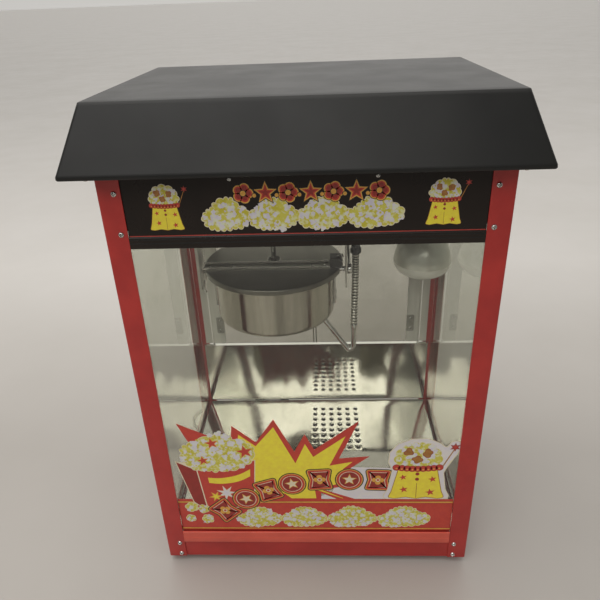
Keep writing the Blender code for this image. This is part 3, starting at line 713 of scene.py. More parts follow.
def coil_tie():
    """A narrow strap round the coil's turns, opposite the plug."""
    bm = bmesh.new()
    angle = -0.5
    outline = rounded(rectangle((-0.008, 0.0003), (0.008, 0.0142)), 0.003)
    inner = rounded(rectangle((-0.0074, 0.0005), (0.0074, 0.0138)), 0.003)
    radial = Vector((math.cos(angle), math.sin(angle), 0))
    along = Vector((-radial.y, radial.x, 0))
    centre = Vector((*COIL, 0)) + radial * COIL_R

    def loop(points, shift):
        return add_ring(bm, [centre + radial * a + Vector((0, 0, b)) + along * shift for a, b in points])

    add_loft(bm, [loop(outline, -0.003), loop(outline, 0.003), loop(inner, 0.003), loop(inner, -0.003)],
             closed=True)
    return settle(to_object("cord_tie", bm, [TIE], 40), "cabinet")


# Cabinet -----------------------------------------------------------------------------------------

def posts():
    """Four upright angles of bent sheet, with pan-head screws in their flanges."""
    sheet = 0.0015
    for front, y, inward_y in (("front", BODY_FRONT, 1), ("rear", BODY_REAR, -1)):
        for side, sign in (("left", -1), ("right", 1)):
            x = sign * (BODY_HALF - sheet / 2)
            corner = y + inward_y * sheet / 2
            line = [(x, y + inward_y * FLANGE), (x, corner), (sign * (BODY_HALF - FLANGE), corner)]
            post = prism(f"angle_{front}_{side}", bent_sheet(line, sheet, 0.0022), "Z", POST_LOW, POST_HIGH,
                         RED_PAINT, 0.0003)
            settle(post, "cabinet", "red_paint", f"post_{front}_{side}")
    heights = (0.66, 0.607, 0.044, 0.019)
    for name, y, outward in (("front", BODY_FRONT, -1), ("rear", BODY_REAR, 1)):
        places = [(sign * 0.232, y, z) for sign in (-1, 1) for z in heights]
        screws(f"post_screws_{name}", places, "Y", outward, "cabinet", 0.0038)
    for sign, side in ((-1, "left"), (1, "right")):
        places = [(sign * BODY_HALF, y, z) for y in (-0.145, 0.175) for z in (0.65, 0.035)]
        screws(f"side_screws_{side}", places, "X", sign, "cabinet", 0.0036)


def front_rail():
    """The folded strip that closes the base under the front glass."""
    y = BODY_FRONT
    line = [(y + 0.001, 0.0712), (y - 0.0006, 0.0712), (y - 0.0006, 0.06), (y - 0.001, 0.058),
            (y - 0.001, 0.0486), (y + 0.001, 0.0486)]
    rail = prism("foot_rail", bent_sheet(line, 0.0009, 0.0012), "X", -0.223, 0.223, RAIL_PAINT, 0.0002)
    settle(rail, "cabinet", "red_paint", "front_rail")


def rim(bm, half, middle, z, radius):
    """A ring of points: a rectangle with round corners, its middle at a place in y."""
    points = rounded(rectangle((-half[0], -half[1]), half), radius, 6)
    return add_ring(bm, [(a, middle + b, z) for a, b in points])


def roof():
    """The sheet canopy: a turned-in lip, sloping sides with soft folds, and a flat top."""
    low, high, sheet = 0.689, 0.77, 0.0012
    outside = [((0.245, 0.17), low, 0.002), ((0.2775, 0.2075), low, 0.004),
               ((0.2792, 0.2092), low + 0.0004, 0.005), ((0.2799, 0.2099), low + 0.0016, 0.005),
               ((0.2796, 0.2096), low + 0.005, 0.005), ((0.2786, 0.2087), low + 0.0072, 0.005)]
    for share in (0.25, 0.5, 0.75, 0.95):
        half = (0.2786 - 0.0292 * share, 0.2087 - 0.0273 * share)
        outside.append((half, low + 0.0072 + 0.0722 * share, 0.005))
    outside += [((0.249, 0.1808), high - 0.0006, 0.005), ((0.2474, 0.1792), high, 0.005),
                ((0.23, 0.162), high, 0.004)]
    bm = bmesh.new()
    lip_middle = 0.015
    rings = [rim(bm, half, 0.0 if number else lip_middle, z, radius)
             for number, (half, z, radius) in enumerate(outside)]
    for first, second in zip(rings, rings[1:]):
        bridge(bm, first, second)
    bm.faces.new(rings[-1])
    shell = to_object("canopy", bm, [BLACK_PAINT], 50)
    solid = shell.modifiers.new("sheet", "SOLIDIFY")
    solid.thickness = sheet
    solid.offset = -1
    settle(shell, "cabinet", "black_paint", "roof")
    places = [(x, y, low) for y in (-0.203, 0.203) for x in (-0.247, 0.248)]
    screws("canopy_screws", places, "Z", -1, "cabinet", 0.003)


def header_panel():
    """The black front of the top box, with the beaded channel that holds the front glass."""
    y = HEADER_FACE + 0.0005
    line = [(y + 0.001, 0.686), (y, 0.686), (y, 0.603), (-0.1643, 0.6012), (-0.1643, 0.587),
            (-0.1632, 0.587)]
    outline = bent_sheet(line, 0.0009, 0.0014)
    panel = prism("header_panel", outline, "X", -0.2234, 0.2234, HEADER_PAINT, 0.0002)
    settle(panel, "cabinet", "black_paint", "header")
    bm = bmesh.new()
    for z in (0.594, 0.599):
        add_prism(bm, rounded([(-0.165, z - 0.0005), (-0.1646, z - 0.0009), (-0.1646, z + 0.0009),
                               (-0.165, z + 0.0005)], 0.0002, 2), "X", -0.223, 0.223)
    settle(to_object("header_beads", bm, [BLACK_PAINT], 40), "cabinet", "black_paint")
    screws("header_screws", [(x, HEADER_FACE, 0.6745) for x in (-0.089, 0.089)], "Y", -1, "cabinet", 0.0028)


def deck():
    """The polished floor of the chamber, with the sieve's pressed holes."""
    columns, rows, pitch, first, hole, sides = 6, 8, 0.0172, (-0.0026, 0.0367), 0.0042, 24
    left, right, front, rear, high = -0.235, 0.235, -0.1565, 0.1915, 0.0755
    bm = bmesh.new()
    start = (first[0] - pitch / 2, first[1] - pitch / 2)
    xs = [start[0] + pitch * i for i in range(columns + 1)]
    ys = [start[1] + pitch * i for i in range(rows + 1)]
    grid = {}

    def corner(x, y):
        key = (round(x, 5), round(y, 5))
        if key not in grid:
            grid[key] = bm.verts.new((x, y, high))
        return grid[key]

    def edge_points(x0, y0):
        """Points round one sieve cell, so that each lines up with a point of its hole."""
        half = pitch / 2
        points = []
        for i in range(sides):
            angle = TAU * i / sides
            reach = half / max(abs(math.cos(angle)), abs(math.sin(angle)))
            points.append(corner(x0 + half + reach * math.cos(angle), y0 + half + reach * math.sin(angle)))
        return points

    lip = [(hole + 0.0013, high + 0.0001), (hole + 0.0006, high), (hole + 0.0001, high - 0.0006),
           (hole, high - 0.0016)]
    for x0 in xs[:-1]:
        for y0 in ys[:-1]:
            ring = edge_points(x0, y0)
            for radius, z in lip:
                centre = (x0 + pitch / 2, y0 + pitch / 2)
                inner = add_ring(bm, [(a, b, z) for a, b in circle(radius, sides, centre)])
                bridge(bm, ring, inner)
                ring = inner
    edge = 0.003
    frame_xs = [left + edge, *xs, right - edge]
    frame_ys = [front + edge, *ys, rear - edge]
    border = {(x, y): corner(x, y) for x in frame_xs for y in frame_ys}

    def between(a, b):
        """The vertices on the sieve's edge that lie between two frame corners."""
        for along, lines, ends in ((1, (xs[0], xs[-1]), ys), (0, (ys[0], ys[-1]), xs)):
            across = 1 - along
            on_line = a[across] == b[across] and a[across] in lines
            if on_line and all(ends[0] <= point[along] <= ends[-1] for point in (a, b)):
                start_end, far_end = sorted((a[along], b[along]))
                keys = [key for key in grid if abs(key[across] - a[across]) < NEAR
                        and start_end + NEAR < key[along] < far_end - NEAR]
                return [grid[key] for key in sorted(keys, key=lambda key: abs(key[along] - a[along]))]
        return []

    for i in range(len(frame_xs) - 1):
        for j in range(len(frame_ys) - 1):
            x0, x1, y0, y1 = frame_xs[i], frame_xs[i + 1], frame_ys[j], frame_ys[j + 1]
            if xs[0] <= x0 < xs[-1] and ys[0] <= y0 < ys[-1]:
                continue
            corners = [(x0, y0), (x1, y0), (x1, y1), (x0, y1)]
            loop = []
            for a, b in zip(corners, [*corners[1:], corners[0]]):
                loop += [border[a], *between(a, b)]
            bm.faces.new(loop)
    outer = [border[(x, frame_ys[0])] for x in frame_xs] + [border[(frame_xs[-1], y)] for y in frame_ys[1:]]
    outer += [border[(x, frame_ys[-1])] for x in frame_xs[-2::-1]]
    outer += [border[(frame_xs[0], y)] for y in frame_ys[-2:0:-1]]
    last = outer
    for out, down in ((0.0012, -0.0003), (0.0024, -0.0012), (0.003, -0.003)):
        places = [moved_out(vert.co, (left + edge, right - edge), (front + edge, rear - edge), out)
                  for vert in outer]
        ring = add_ring(bm, [(x, y, high + down) for x, y in places])
        bridge(bm, last, ring)
        last = ring
    plate = to_object("sieve_deck", bm, [MIRROR], 30)
    return settle(plate, "cabinet", "polished_steel", "deck")


def moved_out(place, x_range, y_range, out):
    """A place on a rectangle's border, moved outward by a distance."""
    x, y = place.x, place.y
    x += -out if abs(x - x_range[0]) < NEAR else out if abs(x - x_range[1]) < NEAR else 0
    y += -out if abs(y - y_range[0]) < NEAR else out if abs(y - y_range[1]) < NEAR else 0
    return x, y


def pull_knob(name, profile, softness, centre, body, node):
    """A turned knob that stands on an upright face and points to the operator."""
    knob = turned(name, softened(profile, softness), centre, PLASTIC, "Y", 40)
    settle(knob, body, "black_plastic", node)


def door_details():
    """The doors' hinges, edge trims, small plates, screws and knobs."""
    low, high = 0.227, 0.59
    for side, sign in (("left", -1), ("right", 1)):
        body = "door_" + side
        channel = [(sign * x, y) for x, y in (
            (0.187, 0.1862), (0.2102, 0.1862), (0.2102, 0.1907), (0.187, 0.1907))]
        outline = bent_sheet(channel, 0.001, 0.0008)
        stile = prism(f"hinge_channel_{side}", outline, "Z", low, high, PALE_LIT_STEEL)
        start, end = sorted((sign * 0.211, sign * 0.2145))
        leaf = prism(f"hinge_leaf_{side}", rounded(rectangle((start, low), (end, high)), 0.0012), "Y",
                     0.1901, 0.1913, PALE_LIT_STEEL, 0.0003)
        settle(leaf, body, "brushed_steel")
        start, end = sorted((sign * 0.2154, sign * 0.23))
        fixed = prism(f"hinge_fixed_leaf_{side}", rectangle((start, 0.224), (end, 0.594)), "Y",
                      0.1921, 0.1932, PALE_LIT_STEEL, 0.0002)
        settle(fixed, "cabinet", "brushed_steel")
        edge = [(sign * x, y) for x, y in (
            (0.0038, 0.1862), (0.0008, 0.1862), (0.0008, 0.1904), (0.0038, 0.1904))]
        outline = bent_sheet(edge, 0.0008, 0.0006)
        settle(prism(f"door_edge_trim_{side}", outline, "Z", 0.2268, 0.5902, DOOR_GLASS), body)
        pins = bmesh.new()
        for z0, z1 in ((0.2165, 0.2275), (0.5895, 0.6005)):
            add_turned(pins, softened([(0, z0), (0.002, z0), (0.002, z1), (0, z1)], 0.0004),
                       (sign * 0.2125, 0.1907, 0), steps=20)
        settle(stile, body, "brushed_steel", f"stile_{side}")
        settle(to_object(f"hinge_pins_{side}", pins, [CHROME], 40), body, "chrome")
        start, end = sorted((sign * 0.187, sign * 0.2017))
        plate = prism(f"door_plate_{side}", rounded(rectangle((start, 0.2524), (end, 0.2903)), 0.003),
                      "Y", 0.1846, 0.1856, PLATE_STEEL, 0.0003)
        settle(plate, body, "brushed_steel")
        places = [(sign * 0.1943, 0.1846, z) for z in (0.26, 0.283)]
        screws(f"door_plate_screws_{side}", places, "Y", -1, body, 0.0026)
        places = [(sign * 0.2, 0.1912, z) for z in (0.26, 0.283, 0.545, 0.568)]
        screws(f"stile_screws_{side}", places, "Y", 1, body, 0.0028)
        knob = [(0, 0.0), (0.006, 0.0), (0.0048, 0.003), (0.0042, 0.007), (0.006, 0.0105),
                (0.0088, 0.013), (0.0092, 0.0152), (0.008, 0.0172), (0.004, 0.0179), (0, 0.0179)]
        pull_knob(f"door_knob_turned_{side}", knob, 0.0012, (sign * 0.022, 0.1901, 0.4), body,
                  f"door_knob_{side}")


def operator_side():
    """Screws on the rear header, the switch plate and the drawer, and the drawer's knob."""
    screws("switch_screws", [(x, 0.1975, 0.645) for x in (-0.0585, 0.0585)], "Y", 1, "cabinet", 0.0028)
    places = [(x, 0.1932, 0.64) for x in (-0.11, -0.18, 0.11, 0.18)]
    screws("rear_screws", places, "Y", 1, "cabinet", 0.003)
    middle = 0.041
    screws("drawer_screws", [(middle + x, 0.1948, 0.03) for x in (-0.035, 0.035)], "Y", 1, "drawer", 0.0024)
    knob = [(0, 0.0), (0.0055, 0.0), (0.0045, 0.0025), (0.004, 0.0055), (0.0056, 0.0085), (0.0078, 0.0105),
            (0.008, 0.0122), (0.0066, 0.0136), (0, 0.0139)]
    pull_knob("drawer_knob_turned", knob, 0.001, (middle, 0.1951, 0.042), "drawer", "drawer_knob")


def feet():
    """Four rubber feet with a stepped rim and a recess in the middle of the underside."""
    for front, y in (("front", -0.12), ("rear", 0.12)):
        for side, x in (("left", -0.205), ("right", 0.205)):
            profile = [(0, 0.003), (0.0045, 0.003), (0.005, 0.0), (0.01, 0.0), (0.011, 0.001),
                       (0.0118, 0.006), (0.0136, 0.007), (0.014, 0.0085), (0.014, 0.0117), (0, 0.0117)]
            foot = turned(f"rubber_foot_{front}_{side}", softened(profile, 0.0008), (x, y, 0), RUBBER)
            settle(foot, "cabinet", "rubber", f"foot_{front}_{side}")


# Kettle ------------------------------------------------------------------------------------------

def kettle():
    """The jacket and the pan in it, with the two half lids and the bar over them."""
    centre = (KETTLE_X, 0, 0)
    wall, radius, low, high = 0.0009, 0.0943, 0.408, 0.4922
    outer = rounded([(0.01, low), (radius, low), (radius, high)], 0.01, 8, closed=False)
    inner = rounded([(radius - wall, high), (radius - wall, low + wall), (0.01, low + wall)], 0.009, 8,
                    closed=False)
    jacket = turned("jacket_spun", [*outer, *inner], centre, KETTLE_STEEL, steps=128, closed=True)
    settle(jacket, "kettle", "polished_steel", "kettle_jacket")
    wall, radius, floor = 0.0012, 0.0902, 0.424
    outer = rounded([(0, floor), (radius, floor), (radius, 0.4926), (radius + 0.005, 0.4926)], 0.006, 8,
                    closed=False)
    inner = rounded([(radius + 0.0055, 0.4936), (radius - wall, 0.4936), (radius - wall, floor + wall),
                     (0, floor + wall)], 0.005, 8, closed=False)
    pan = turned("pan_spun", [*outer, *inner], centre, PAN_STEEL, steps=128)
    settle(pan, "kettle", "kettle_pan", "kettle_pan")
    half_lid("front")
    half_lid("rear")
    bar()


def half_lid(which):
    """Half of the lid: a disc with a turned-down edge, straight where it meets the bar."""
    radius, top, sheet, skirt = 0.109, 0.4967, 0.0014, 0.008
    outer = rounded([(0, top), (radius, top), (radius, top - skirt)], 0.003, 6, closed=False)
    inner = rounded([(radius - sheet, top - skirt), (radius - sheet, top - sheet), (0, top - sheet)], 0.0018,
                    6, closed=False)
    lid = turned(f"lid_{which}_half", [*outer, *inner], (KETTLE_X, 0, 0), SHADED_LID_STEEL, steps=144)
    cutter = bmesh.new()
    low, high = Vector((-0.3, -0.2, 0.45)), Vector((0.2, 0.2, 0.55))
    if which == "front":
        low.y = -0.0345
    else:
        high.y = -0.0095
    add_prism(cutter, rectangle(low, high), "Z", low.z, high.z)
    lid = cut_from(lid, "lid_half_cutter", cutter)
    if which == "rear":
        notch = bmesh.new()
        outline = rectangle((KETTLE_X - 0.01, -0.02), (KETTLE_X + 0.01, 0.016))
        add_prism(notch, rounded(outline, 0.0095, 8), "Z", low.z, high.z)
        lid = cut_from(lid, "lid_notch_cutter", notch)
        line = [(-0.0098, -0.0085), (-0.0098, 0.008), (0.0, 0.0176), (0.0098, 0.008), (0.0098, -0.0085)]
        points = [(KETTLE_X + a, b, top + 0.0002) for a, b in rounded(line, 0.009, 8, closed=False)]
        settle(tube("lid_notch_bead", points, 0.0006, CHROME, 10), "lid_rear", "chrome")
    node = "lid_" + which
    settle(bevelled(lid, 0.0003, 2), node, "polished_steel", node)


def bar():
    """The bar over the kettle: a channel with two bright hems, and the black block and lever at its end."""
    front, rear, low, high, sheet = -0.0342, -0.0098, 0.4941, 0.5001, 0.0014
    left, right = -0.1655, 0.031
    half = sheet / 2
    line = [(front + half, high - 0.001), (front + half, low + half), (rear - half, low + half),
            (rear - half, high - 0.001)]
    channel = prism("bar_channel", bent_sheet(line, sheet, 0.0015), "X", left, right, SHADED_LID_STEEL, 0.0003)
    settle(channel, "kettle", "polished_steel", "kettle_bar")
    for name, start, end in (("front", front, front + 0.003), ("rear", rear - 0.003, rear)):
        outline = rounded(rectangle((start, low + 0.0022), (end, high)), 0.0008)
        hem = prism(f"bar_hem_{name}", outline, "X", left, right, BAR_STEEL, 0.0002)
        settle(hem, "kettle", "polished_steel")
    places = [(x, -0.022, low + sheet) for x in (-0.156, -0.118, 0.004, 0.023)]
    screws("bar_screws", places, "Z", 1, "kettle", 0.003)
    outline = rounded([(0.0313, 0.4971), (0.0495, 0.4971), (0.0495, 0.508), (0.0465, 0.511),
                       (0.0313, 0.511)], 0.0015)
    block = prism("bar_end_block", outline, "Y", -0.0338, -0.01, PLASTIC, 0.0006)
    settle(block, "kettle", "black_plastic", "bar_block")
    line = [(0.043, -0.0215, 0.5105), (0.0452, -0.0215, 0.5128), (0.05, -0.018, 0.512),
            (0.052, -0.012, 0.506)]
    settle(tube("bar_lever", spline_points(line, 6), 0.0013, CHROME, 12), "kettle", "chrome")


def stirrer():
    """The stirring rod with its two blades and its clutch disc, and the motor's disc above it."""
    rod = [(0, 0.427), (0.011, 0.427), (0.011, 0.436), (0.004, 0.44), (0.004, 0.582),
           (0.0085, 0.582), (0.0085, 0.59), (0, 0.59)]
    bm = bmesh.new()
    add_turned(bm, softened(rod, 0.0008), (KETTLE_X, 0, 0))
    for sign in (-1, 1):
        blade = [(KETTLE_X + sign * x, z) for x, z in (
            (0.01, 0.4275), (0.076, 0.4275), (0.072, 0.4345), (0.01, 0.435))]
        add_prism(bm, rounded(blade, 0.001, 3), "Y", -0.0012, 0.0012)
    settle(to_object("stirring_rod", bm, [CHROME], 40), "stirrer", "brushed_steel", "stirrer")
    shaft = [(0, 0.5915), (0.0085, 0.5915), (0.0085, 0.5985), (0.004, 0.5985), (0.004, 0.6092), (0, 0.6092)]
    settle(turned("drive_stub", softened(shaft, 0.0006), (KETTLE_X, 0, 0), CHROME), "drive_shaft", "chrome",
           "drive_shaft")


def hangers():
    """The plates that carry the kettle, the straps on it, their pins and rivets."""
    for name, side, wall, plate in (("left", -1, -0.1516, -0.1715), ("right", 1, 0.0376, 0.056)):
        middle = plate + side * 0.001
        tip = middle - 0.0195
        line = [(middle, 0.456), (middle, 0.6067), (tip, 0.6067)]
        sheet = prism(f"hanger_plate_{name}", bent_sheet(line, 0.002, 0.003), "Y", -0.02, 0.02, BRUSHED_Z,
                      0.0004)
        settle(sheet, "cabinet", "brushed_steel", f"hanger_{name}")
        outline = rounded(rectangle((-0.008, 0.4205), (0.008, 0.487)), 0.004)
        strap = sorted((wall, wall + side * 0.003))
        ear = prism(f"pivot_strap_{name}", outline, "X", *strap, BRUSHED_Z, 0.0004)
        settle(ear, "kettle", "brushed_steel", f"pivot_{name}")
        pin = bmesh.new()
        start, end = sorted((wall + side * 0.001, plate + side * 0.003))
        add_turned(pin, softened([(0, start), (0.004, start), (0.004, end), (0, end)], 0.0006),
                   (0, 0, TILT_Z), "X", 32)
        rivet = softened([(0, 0), (0.003, 0), (0.0026, side * 0.0012), (0, side * 0.0016)], 0.0004)
        for z in (0.429, 0.44):
            add_turned(pin, rivet, (wall + side * 0.003, 0, z), "X", 24)
        settle(to_object(f"pivot_pin_{name}", pin, [CHROME], 40), "kettle", "chrome")
        places = [(tip + 0.006, y, 0.6057) for y in (-0.011, 0.011)]
        screws(f"hanger_screws_{name}", places, "Z", -1, "cabinet", 0.003)


def handle():
    """The rod the operator tips the kettle with, its boss and its ribbed grip."""
    x = 0.0624
    boss = [(0, 0.0592), (0.0085, 0.0592), (0.0085, 0.0656), (0, 0.0656)]
    bm = bmesh.new()
    add_turned(bm, softened(boss, 0.001), (0, 0, TILT_Z), "X", 40)
    rod = [(x, y, TILT_Z + rise) for y, rise in ((0, 0), (0.03, 0.004), (0.06, 0.012), (0.104, 0.025))]
    add_tube(bm, spline_points(rod, 8), 0.003, 20)
    settle(to_object("tilt_rod", bm, [CHROME], 40), "kettle", "chrome", "tilt_handle")
    low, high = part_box("handle_grip")
    centre = (low + high) / 2
    slope = Vector((0, 0.044, 0.013)).normalized()
    half, count = 0.018, 40
    points = [centre + slope * (half * (2 * i / count - 1)) for i in range(count + 1)]

    def swell(i):
        share = abs(2 * i / count - 1)
        end = math.sqrt(max(0.0, 1 - max(0.0, share - 0.88) ** 2 / 0.12 ** 2))
        groove = 0.0004 if i % 4 == 0 and share < 0.8 else 0.0
        return max(0.003, (0.0072 - groove) * end)

    settle(tube("tilt_grip", points, swell, PLASTIC, 32), "kettle", "black_plastic", "handle_grip")


def latch():
    """The hook that hangs from the left hanger, with a ball at its tip."""
    x, y = -0.169, -0.013
    low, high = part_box("latch_hook")
    points = [(x, y, high.z - 0.0022), (x, y - 0.0014, high.z - 0.006), (x, y - 0.0014, high.z - 0.011),
              (x, y, low.z + 0.0044)]
    bm = bmesh.new()
    add_tube(bm, spline_points(points, 6), 0.0014, 14)
    bmesh.ops.create_uvsphere(bm, u_segments=20, v_segments=12, radius=0.0024,
                              matrix=Matrix.Translation((x, y, low.z + 0.0026)))
    ring = [(x, a, b) for a, b in circle(0.002, 20, (y, high.z - 0.0026))]
    add_tube(bm, [*ring, ring[0]], 0.0007, 10)
    settle(to_object("hook_and_ball", bm, [CHROME], 40), "latch_hook", "chrome", "latch_hook")


def power_lead():
    """The bent tube under the kettle and the ribbed conduit from it to the socket."""
    bend = [(0.0105, 0.4076), (0.0105, 0.404), (0.0135, 0.3985), (0.0585, 0.3322), (0.062, 0.329),
            (0.066, 0.3292), (0.0688, 0.333), (0.07, 0.34), (0.0704, 0.379)]
    bend = spline_points([(x, 0, z) for x, z in bend], 6)
    settle(tube("elbow_tube", bend, 0.0045, CHROME, 24), "kettle", "chrome", "elbow")
    collar = [(0, 0.37), (0.0056, 0.37), (0.006, 0.372), (0.006, 0.3775), (0.0052, 0.3792), (0, 0.3792)]
    collar = turned("elbow_collar", softened(collar, 0.0006), (0.0704, 0, 0), CHROME, steps=24, sharp=40)
    settle(collar, "kettle", "chrome")
    route = [(0.0704, 0, 0.3795), (0.0712, 0, 0.425), (0.072, 0, 0.47), (CONDUIT_X, 0, 0.507)]
    pitch, sides = 13, 20

    def rib(i):
        return 0.0041 + 0.0017 * abs(math.sin(math.pi * i / pitch)) ** 0.7

    ribbed = tube("ribbed_conduit", spline_points(route, 110), rib, CONDUIT_STEEL, sides)
    ribbed.data.materials.append(CONDUIT_GROOVE_SHADE)
    # The groove faces take the dark steel: painted shade in the conduit's grooves.
    for face in ribbed.data.polygons:
        if (face.index // sides) % pitch in (0, 1, pitch - 2, pitch - 1):
            face.material_index = 1
    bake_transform(ribbed)
    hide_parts("conduit")
    plug = [(0, 0.5075), (0.0086, 0.5075), (0.0086, 0.514), (0.007, 0.516)]
    for i in range(8):
        z = 0.518 + i * 0.0045
        plug += [(0.007, z), (0.0064, z + 0.0008), (0.0064, z + 0.0018), (0.007, z + 0.0026)]
    plug += [(0.007, 0.56), (0, 0.56)]
    socket = [(0, 0.5603), (0.0105, 0.5603), (0.0105, 0.598), (0.0098, 0.599), (0.0098, 0.6077), (0, 0.6077)]
    for name, profile, node in (("lead_plug", softened(plug, 0.0004, 2), "conduit_plug"),
                                ("lead_socket", softened(socket, 0.0008), "kettle_socket")):
        settle(turned(name, profile, (CONDUIT_X, 0, 0), PLASTIC), "cabinet", "black_plastic", node)


def lamp():
    """The reflector lamp and its ribbed holder."""
    centre = (*LAMP, 0)
    low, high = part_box("lamp_bulb")
    shape = [(0, 0), (0.018, 0.0012), (0.032, 0.0052), (0.042, 0.013), (0.0465, 0.0215), (0.0472, 0.0285),
             (0.0462, 0.037), (0.043, 0.048), (0.0375, 0.06), (0.03, 0.072), (0.0225, 0.083),
             (0.0165, 0.093), (0.014, 0.1035)]
    smooth = [(max(0.0, p.x), low.z + p.y) for p in spline_points([(a, b, 0) for a, b in shape], 4)]
    smooth += [(0.0138, high.z), (0, high.z)]
    bulb = turned("reflector_bulb", smooth, centre, LAMP_GLASS, steps=96, sharp=60)
    settle(bulb, "cabinet", "bulb_glass", "lamp_bulb")
    shape = [(0.015, 0.55), (0.0192, 0.55), (0.02, 0.552), (0.02, 0.564), (0.019, 0.5652),
             (0.019, 0.569), (0.02, 0.5702), (0.02, 0.59), (0.024, 0.6), (0.024, 0.6077),
             (0.015, 0.6077)]
    holder = turned("lamp_holder_turned", softened(shape, 0.0006), centre, CERAMIC, steps=64, closed=True)
    settle(holder, "cabinet", "ceramic", "lamp_holder")


def heater():
    """The cast plate with its stepped rim under the pan."""
    low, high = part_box("heater_plate")
    radius, thick = (high.x - low.x) / 2, high.z - low.z
    centre = ((low.x + high.x) / 2, (low.y + high.y) / 2, low.z)
    profile = [(0, 0), (radius - 0.002, 0), (radius, 0.001), (radius, thick * 0.6),
               (radius - 0.006, thick * 0.6), (radius - 0.006, thick), (0, thick)]
    casting = turned("heater_casting", softened(profile, 0.0008), centre, CAST, steps=64)
    settle(casting, "kettle", "heater", "heater_plate")


# Prints ------------------------------------------------------------------------------------------

# Millimetres in metres, the first film's distance from its face, and the step from film to film.
MM = 0.001
FILM_GAP = 0.00004
FILM_STEP = 0.000004


class Print:
    """Inks laid one over another on an upright face that looks to the front. Sizes are in millimetres."""

    def __init__(self, name, face, level):
        self.name, self.face, self.level = name, face, level
        self.bm = bmesh.new()

    def shape(self, points, ink_number, same_level=False):
        """One thin slab of ink, a step in front of the last one or level with it."""
        self.level += 0 if same_level else 1
        back = self.face - FILM_GAP - (self.level - 0.9) * FILM_STEP
        front = self.face - FILM_GAP - self.level * FILM_STEP
        add_prism(self.bm, [(a * MM, b * MM) for a, b in points], "Y", front, back, ink_number)

    def stack(self, points, layers):
        """One outline, drawn again and again a little smaller: (growth in millimetres, ink) pairs."""
        for growth, ink_number in layers:
            self.shape(grown(points, growth), ink_number)

    def popcorn(self, rng, outline, lump, spacing):
        """A heap of popcorn: a lumpy cream edge, a buttery body, and pale kernels spread over it."""
        edge = lumpy(rng, outline, lump * 0.42, lump)
        self.stack(edge, ((0.9, CREAM), (0, BUTTER)))
        polygon = [Vector(p) for p in edge]
        for ink_number, smallest, largest, share in ((POPCORN, 0.34, 0.6, 0.86), (BUTTER, 0.14, 0.26, 0.62),
                                                     (POPCORN, 0.12, 0.2, 0.35)):
            base = self.level + 1
            for row, z in enumerate(steps_between(polygon, 1, spacing * 0.85)):
                for column, x in enumerate(steps_between(polygon, 0, spacing)):
                    px = x + (row % 2) * spacing / 2 + rng.uniform(-0.3, 0.3) * spacing
                    pz = z + rng.uniform(-0.3, 0.3) * spacing
                    size = spacing * rng.uniform(smallest, largest)
                    self.level = base + (row % 3) * 2 + column % 2
                    if inside(polygon, px, pz) and rng.random() < share:
                        self.shape(kernel_outline(rng, px, pz, size), ink_number, True)
            self.level = base + 5

    def done(self):
        """Makes the print one piece of the cabinet."""
        settle(to_object(self.name, self.bm, INKS, 30), "cabinet")


def steps_between(polygon, which, step):
    """Evenly spaced places across an outline, along its first or its second axis."""
    low, high = min(p[which] for p in polygon), max(p[which] for p in polygon)
    return [low + step * (i + 0.5) for i in range(int((high - low) / step))]


def turning(points):
    """1 for an outline that runs anticlockwise, and -1 for one that runs clockwise."""
    area = sum(a.x * b.y - b.x * a.y for a, b in zip(points, points[1:] + points[:1]))
    return 1 if area > 0 else -1


def grown(points, distance):
    """An outline moved outward by a distance, or inward by a negative one."""
    points = [Vector(p) for p in points]
    sign = turning(points)
    result = []
    for i, point in enumerate(points):
        before = (point - points[i - 1]).normalized()
        after = (points[(i + 1) % len(points)] - point).normalized()
        edge = Vector((before.y, -before.x)) * sign
        normal = Vector((before.y + after.y, -before.x - after.x)) * sign
        normal = normal.normalized() if normal.length > 1e-6 else edge
        result.append(point + normal * distance / max(0.45, normal.dot(edge)))
    return result


def lumpy(rng, points, height, width):
    """An outline with rounded lumps all along its edge, as popcorn has."""
    points = [Vector(p) for p in points]
    sign = turning(points)
    result = []
    for a, b in zip(points, points[1:] + points[:1]):
        lumps = max(1, round((b - a).length / (width * rng.uniform(0.85, 1.15))))
        along = (b - a) / lumps
        normal = Vector((along.y, -along.x)).normalized() * sign
        for lump in range(lumps):
            tall = height * rng.uniform(0.7, 1.3)
            for i in range(8):
                share = i / 8
                result.append(a + along * (lump + share) + normal * tall * math.sin(math.pi * share) ** 0.6)
    return result


def kernel_outline(rng, x, z, size):
    """A popped kernel's outline: the outer edge of a few discs round a middle one."""
    lobes = rng.choice((3, 4, 4, 5))
    start = rng.uniform(0, TAU)
    discs = [(0.0, 0.0, 0.6)]
    for i in range(lobes):
        angle = start + TAU * i / lobes + rng.uniform(-0.3, 0.3)
        out = rng.uniform(0.45, 0.65)
        discs.append((out * math.cos(angle), out * math.sin(angle), rng.uniform(0.34, 0.5)))
    points = []
    for i in range(24):
        angle = TAU * i / 24
        dx, dz = math.cos(angle), math.sin(angle)
        reach = 0.0
        for cx, cz, radius in discs:
            along = cx * dx + cz * dz
            depth = radius * radius - (cx * cx + cz * cz) + along * along
            if depth > 0:
                reach = max(reach, along + math.sqrt(depth))
        points.append((x + size * reach * dx, z + size * reach * dz))
    return points


def star(x, z, outer, inner, count, turn=math.pi / 2):
    """A star's outline: its points lie on an outer circle and its hollows on an inner one."""
    return [(x + r * math.cos(turn + math.pi * i / count), z + r * math.sin(turn + math.pi * i / count))
            for i, r in ((i, outer if i % 2 == 0 else inner) for i in range(2 * count))]


def inside(polygon, x, z):
    """True where a place lies within an outline."""
    result = False
    for a, b in zip(polygon, polygon[1:] + polygon[:1]):
        if (a.y > z) != (b.y > z) and x < a.x + (z - a.y) * (b.x - a.x) / (b.y - a.y):
            result = not result
    return result


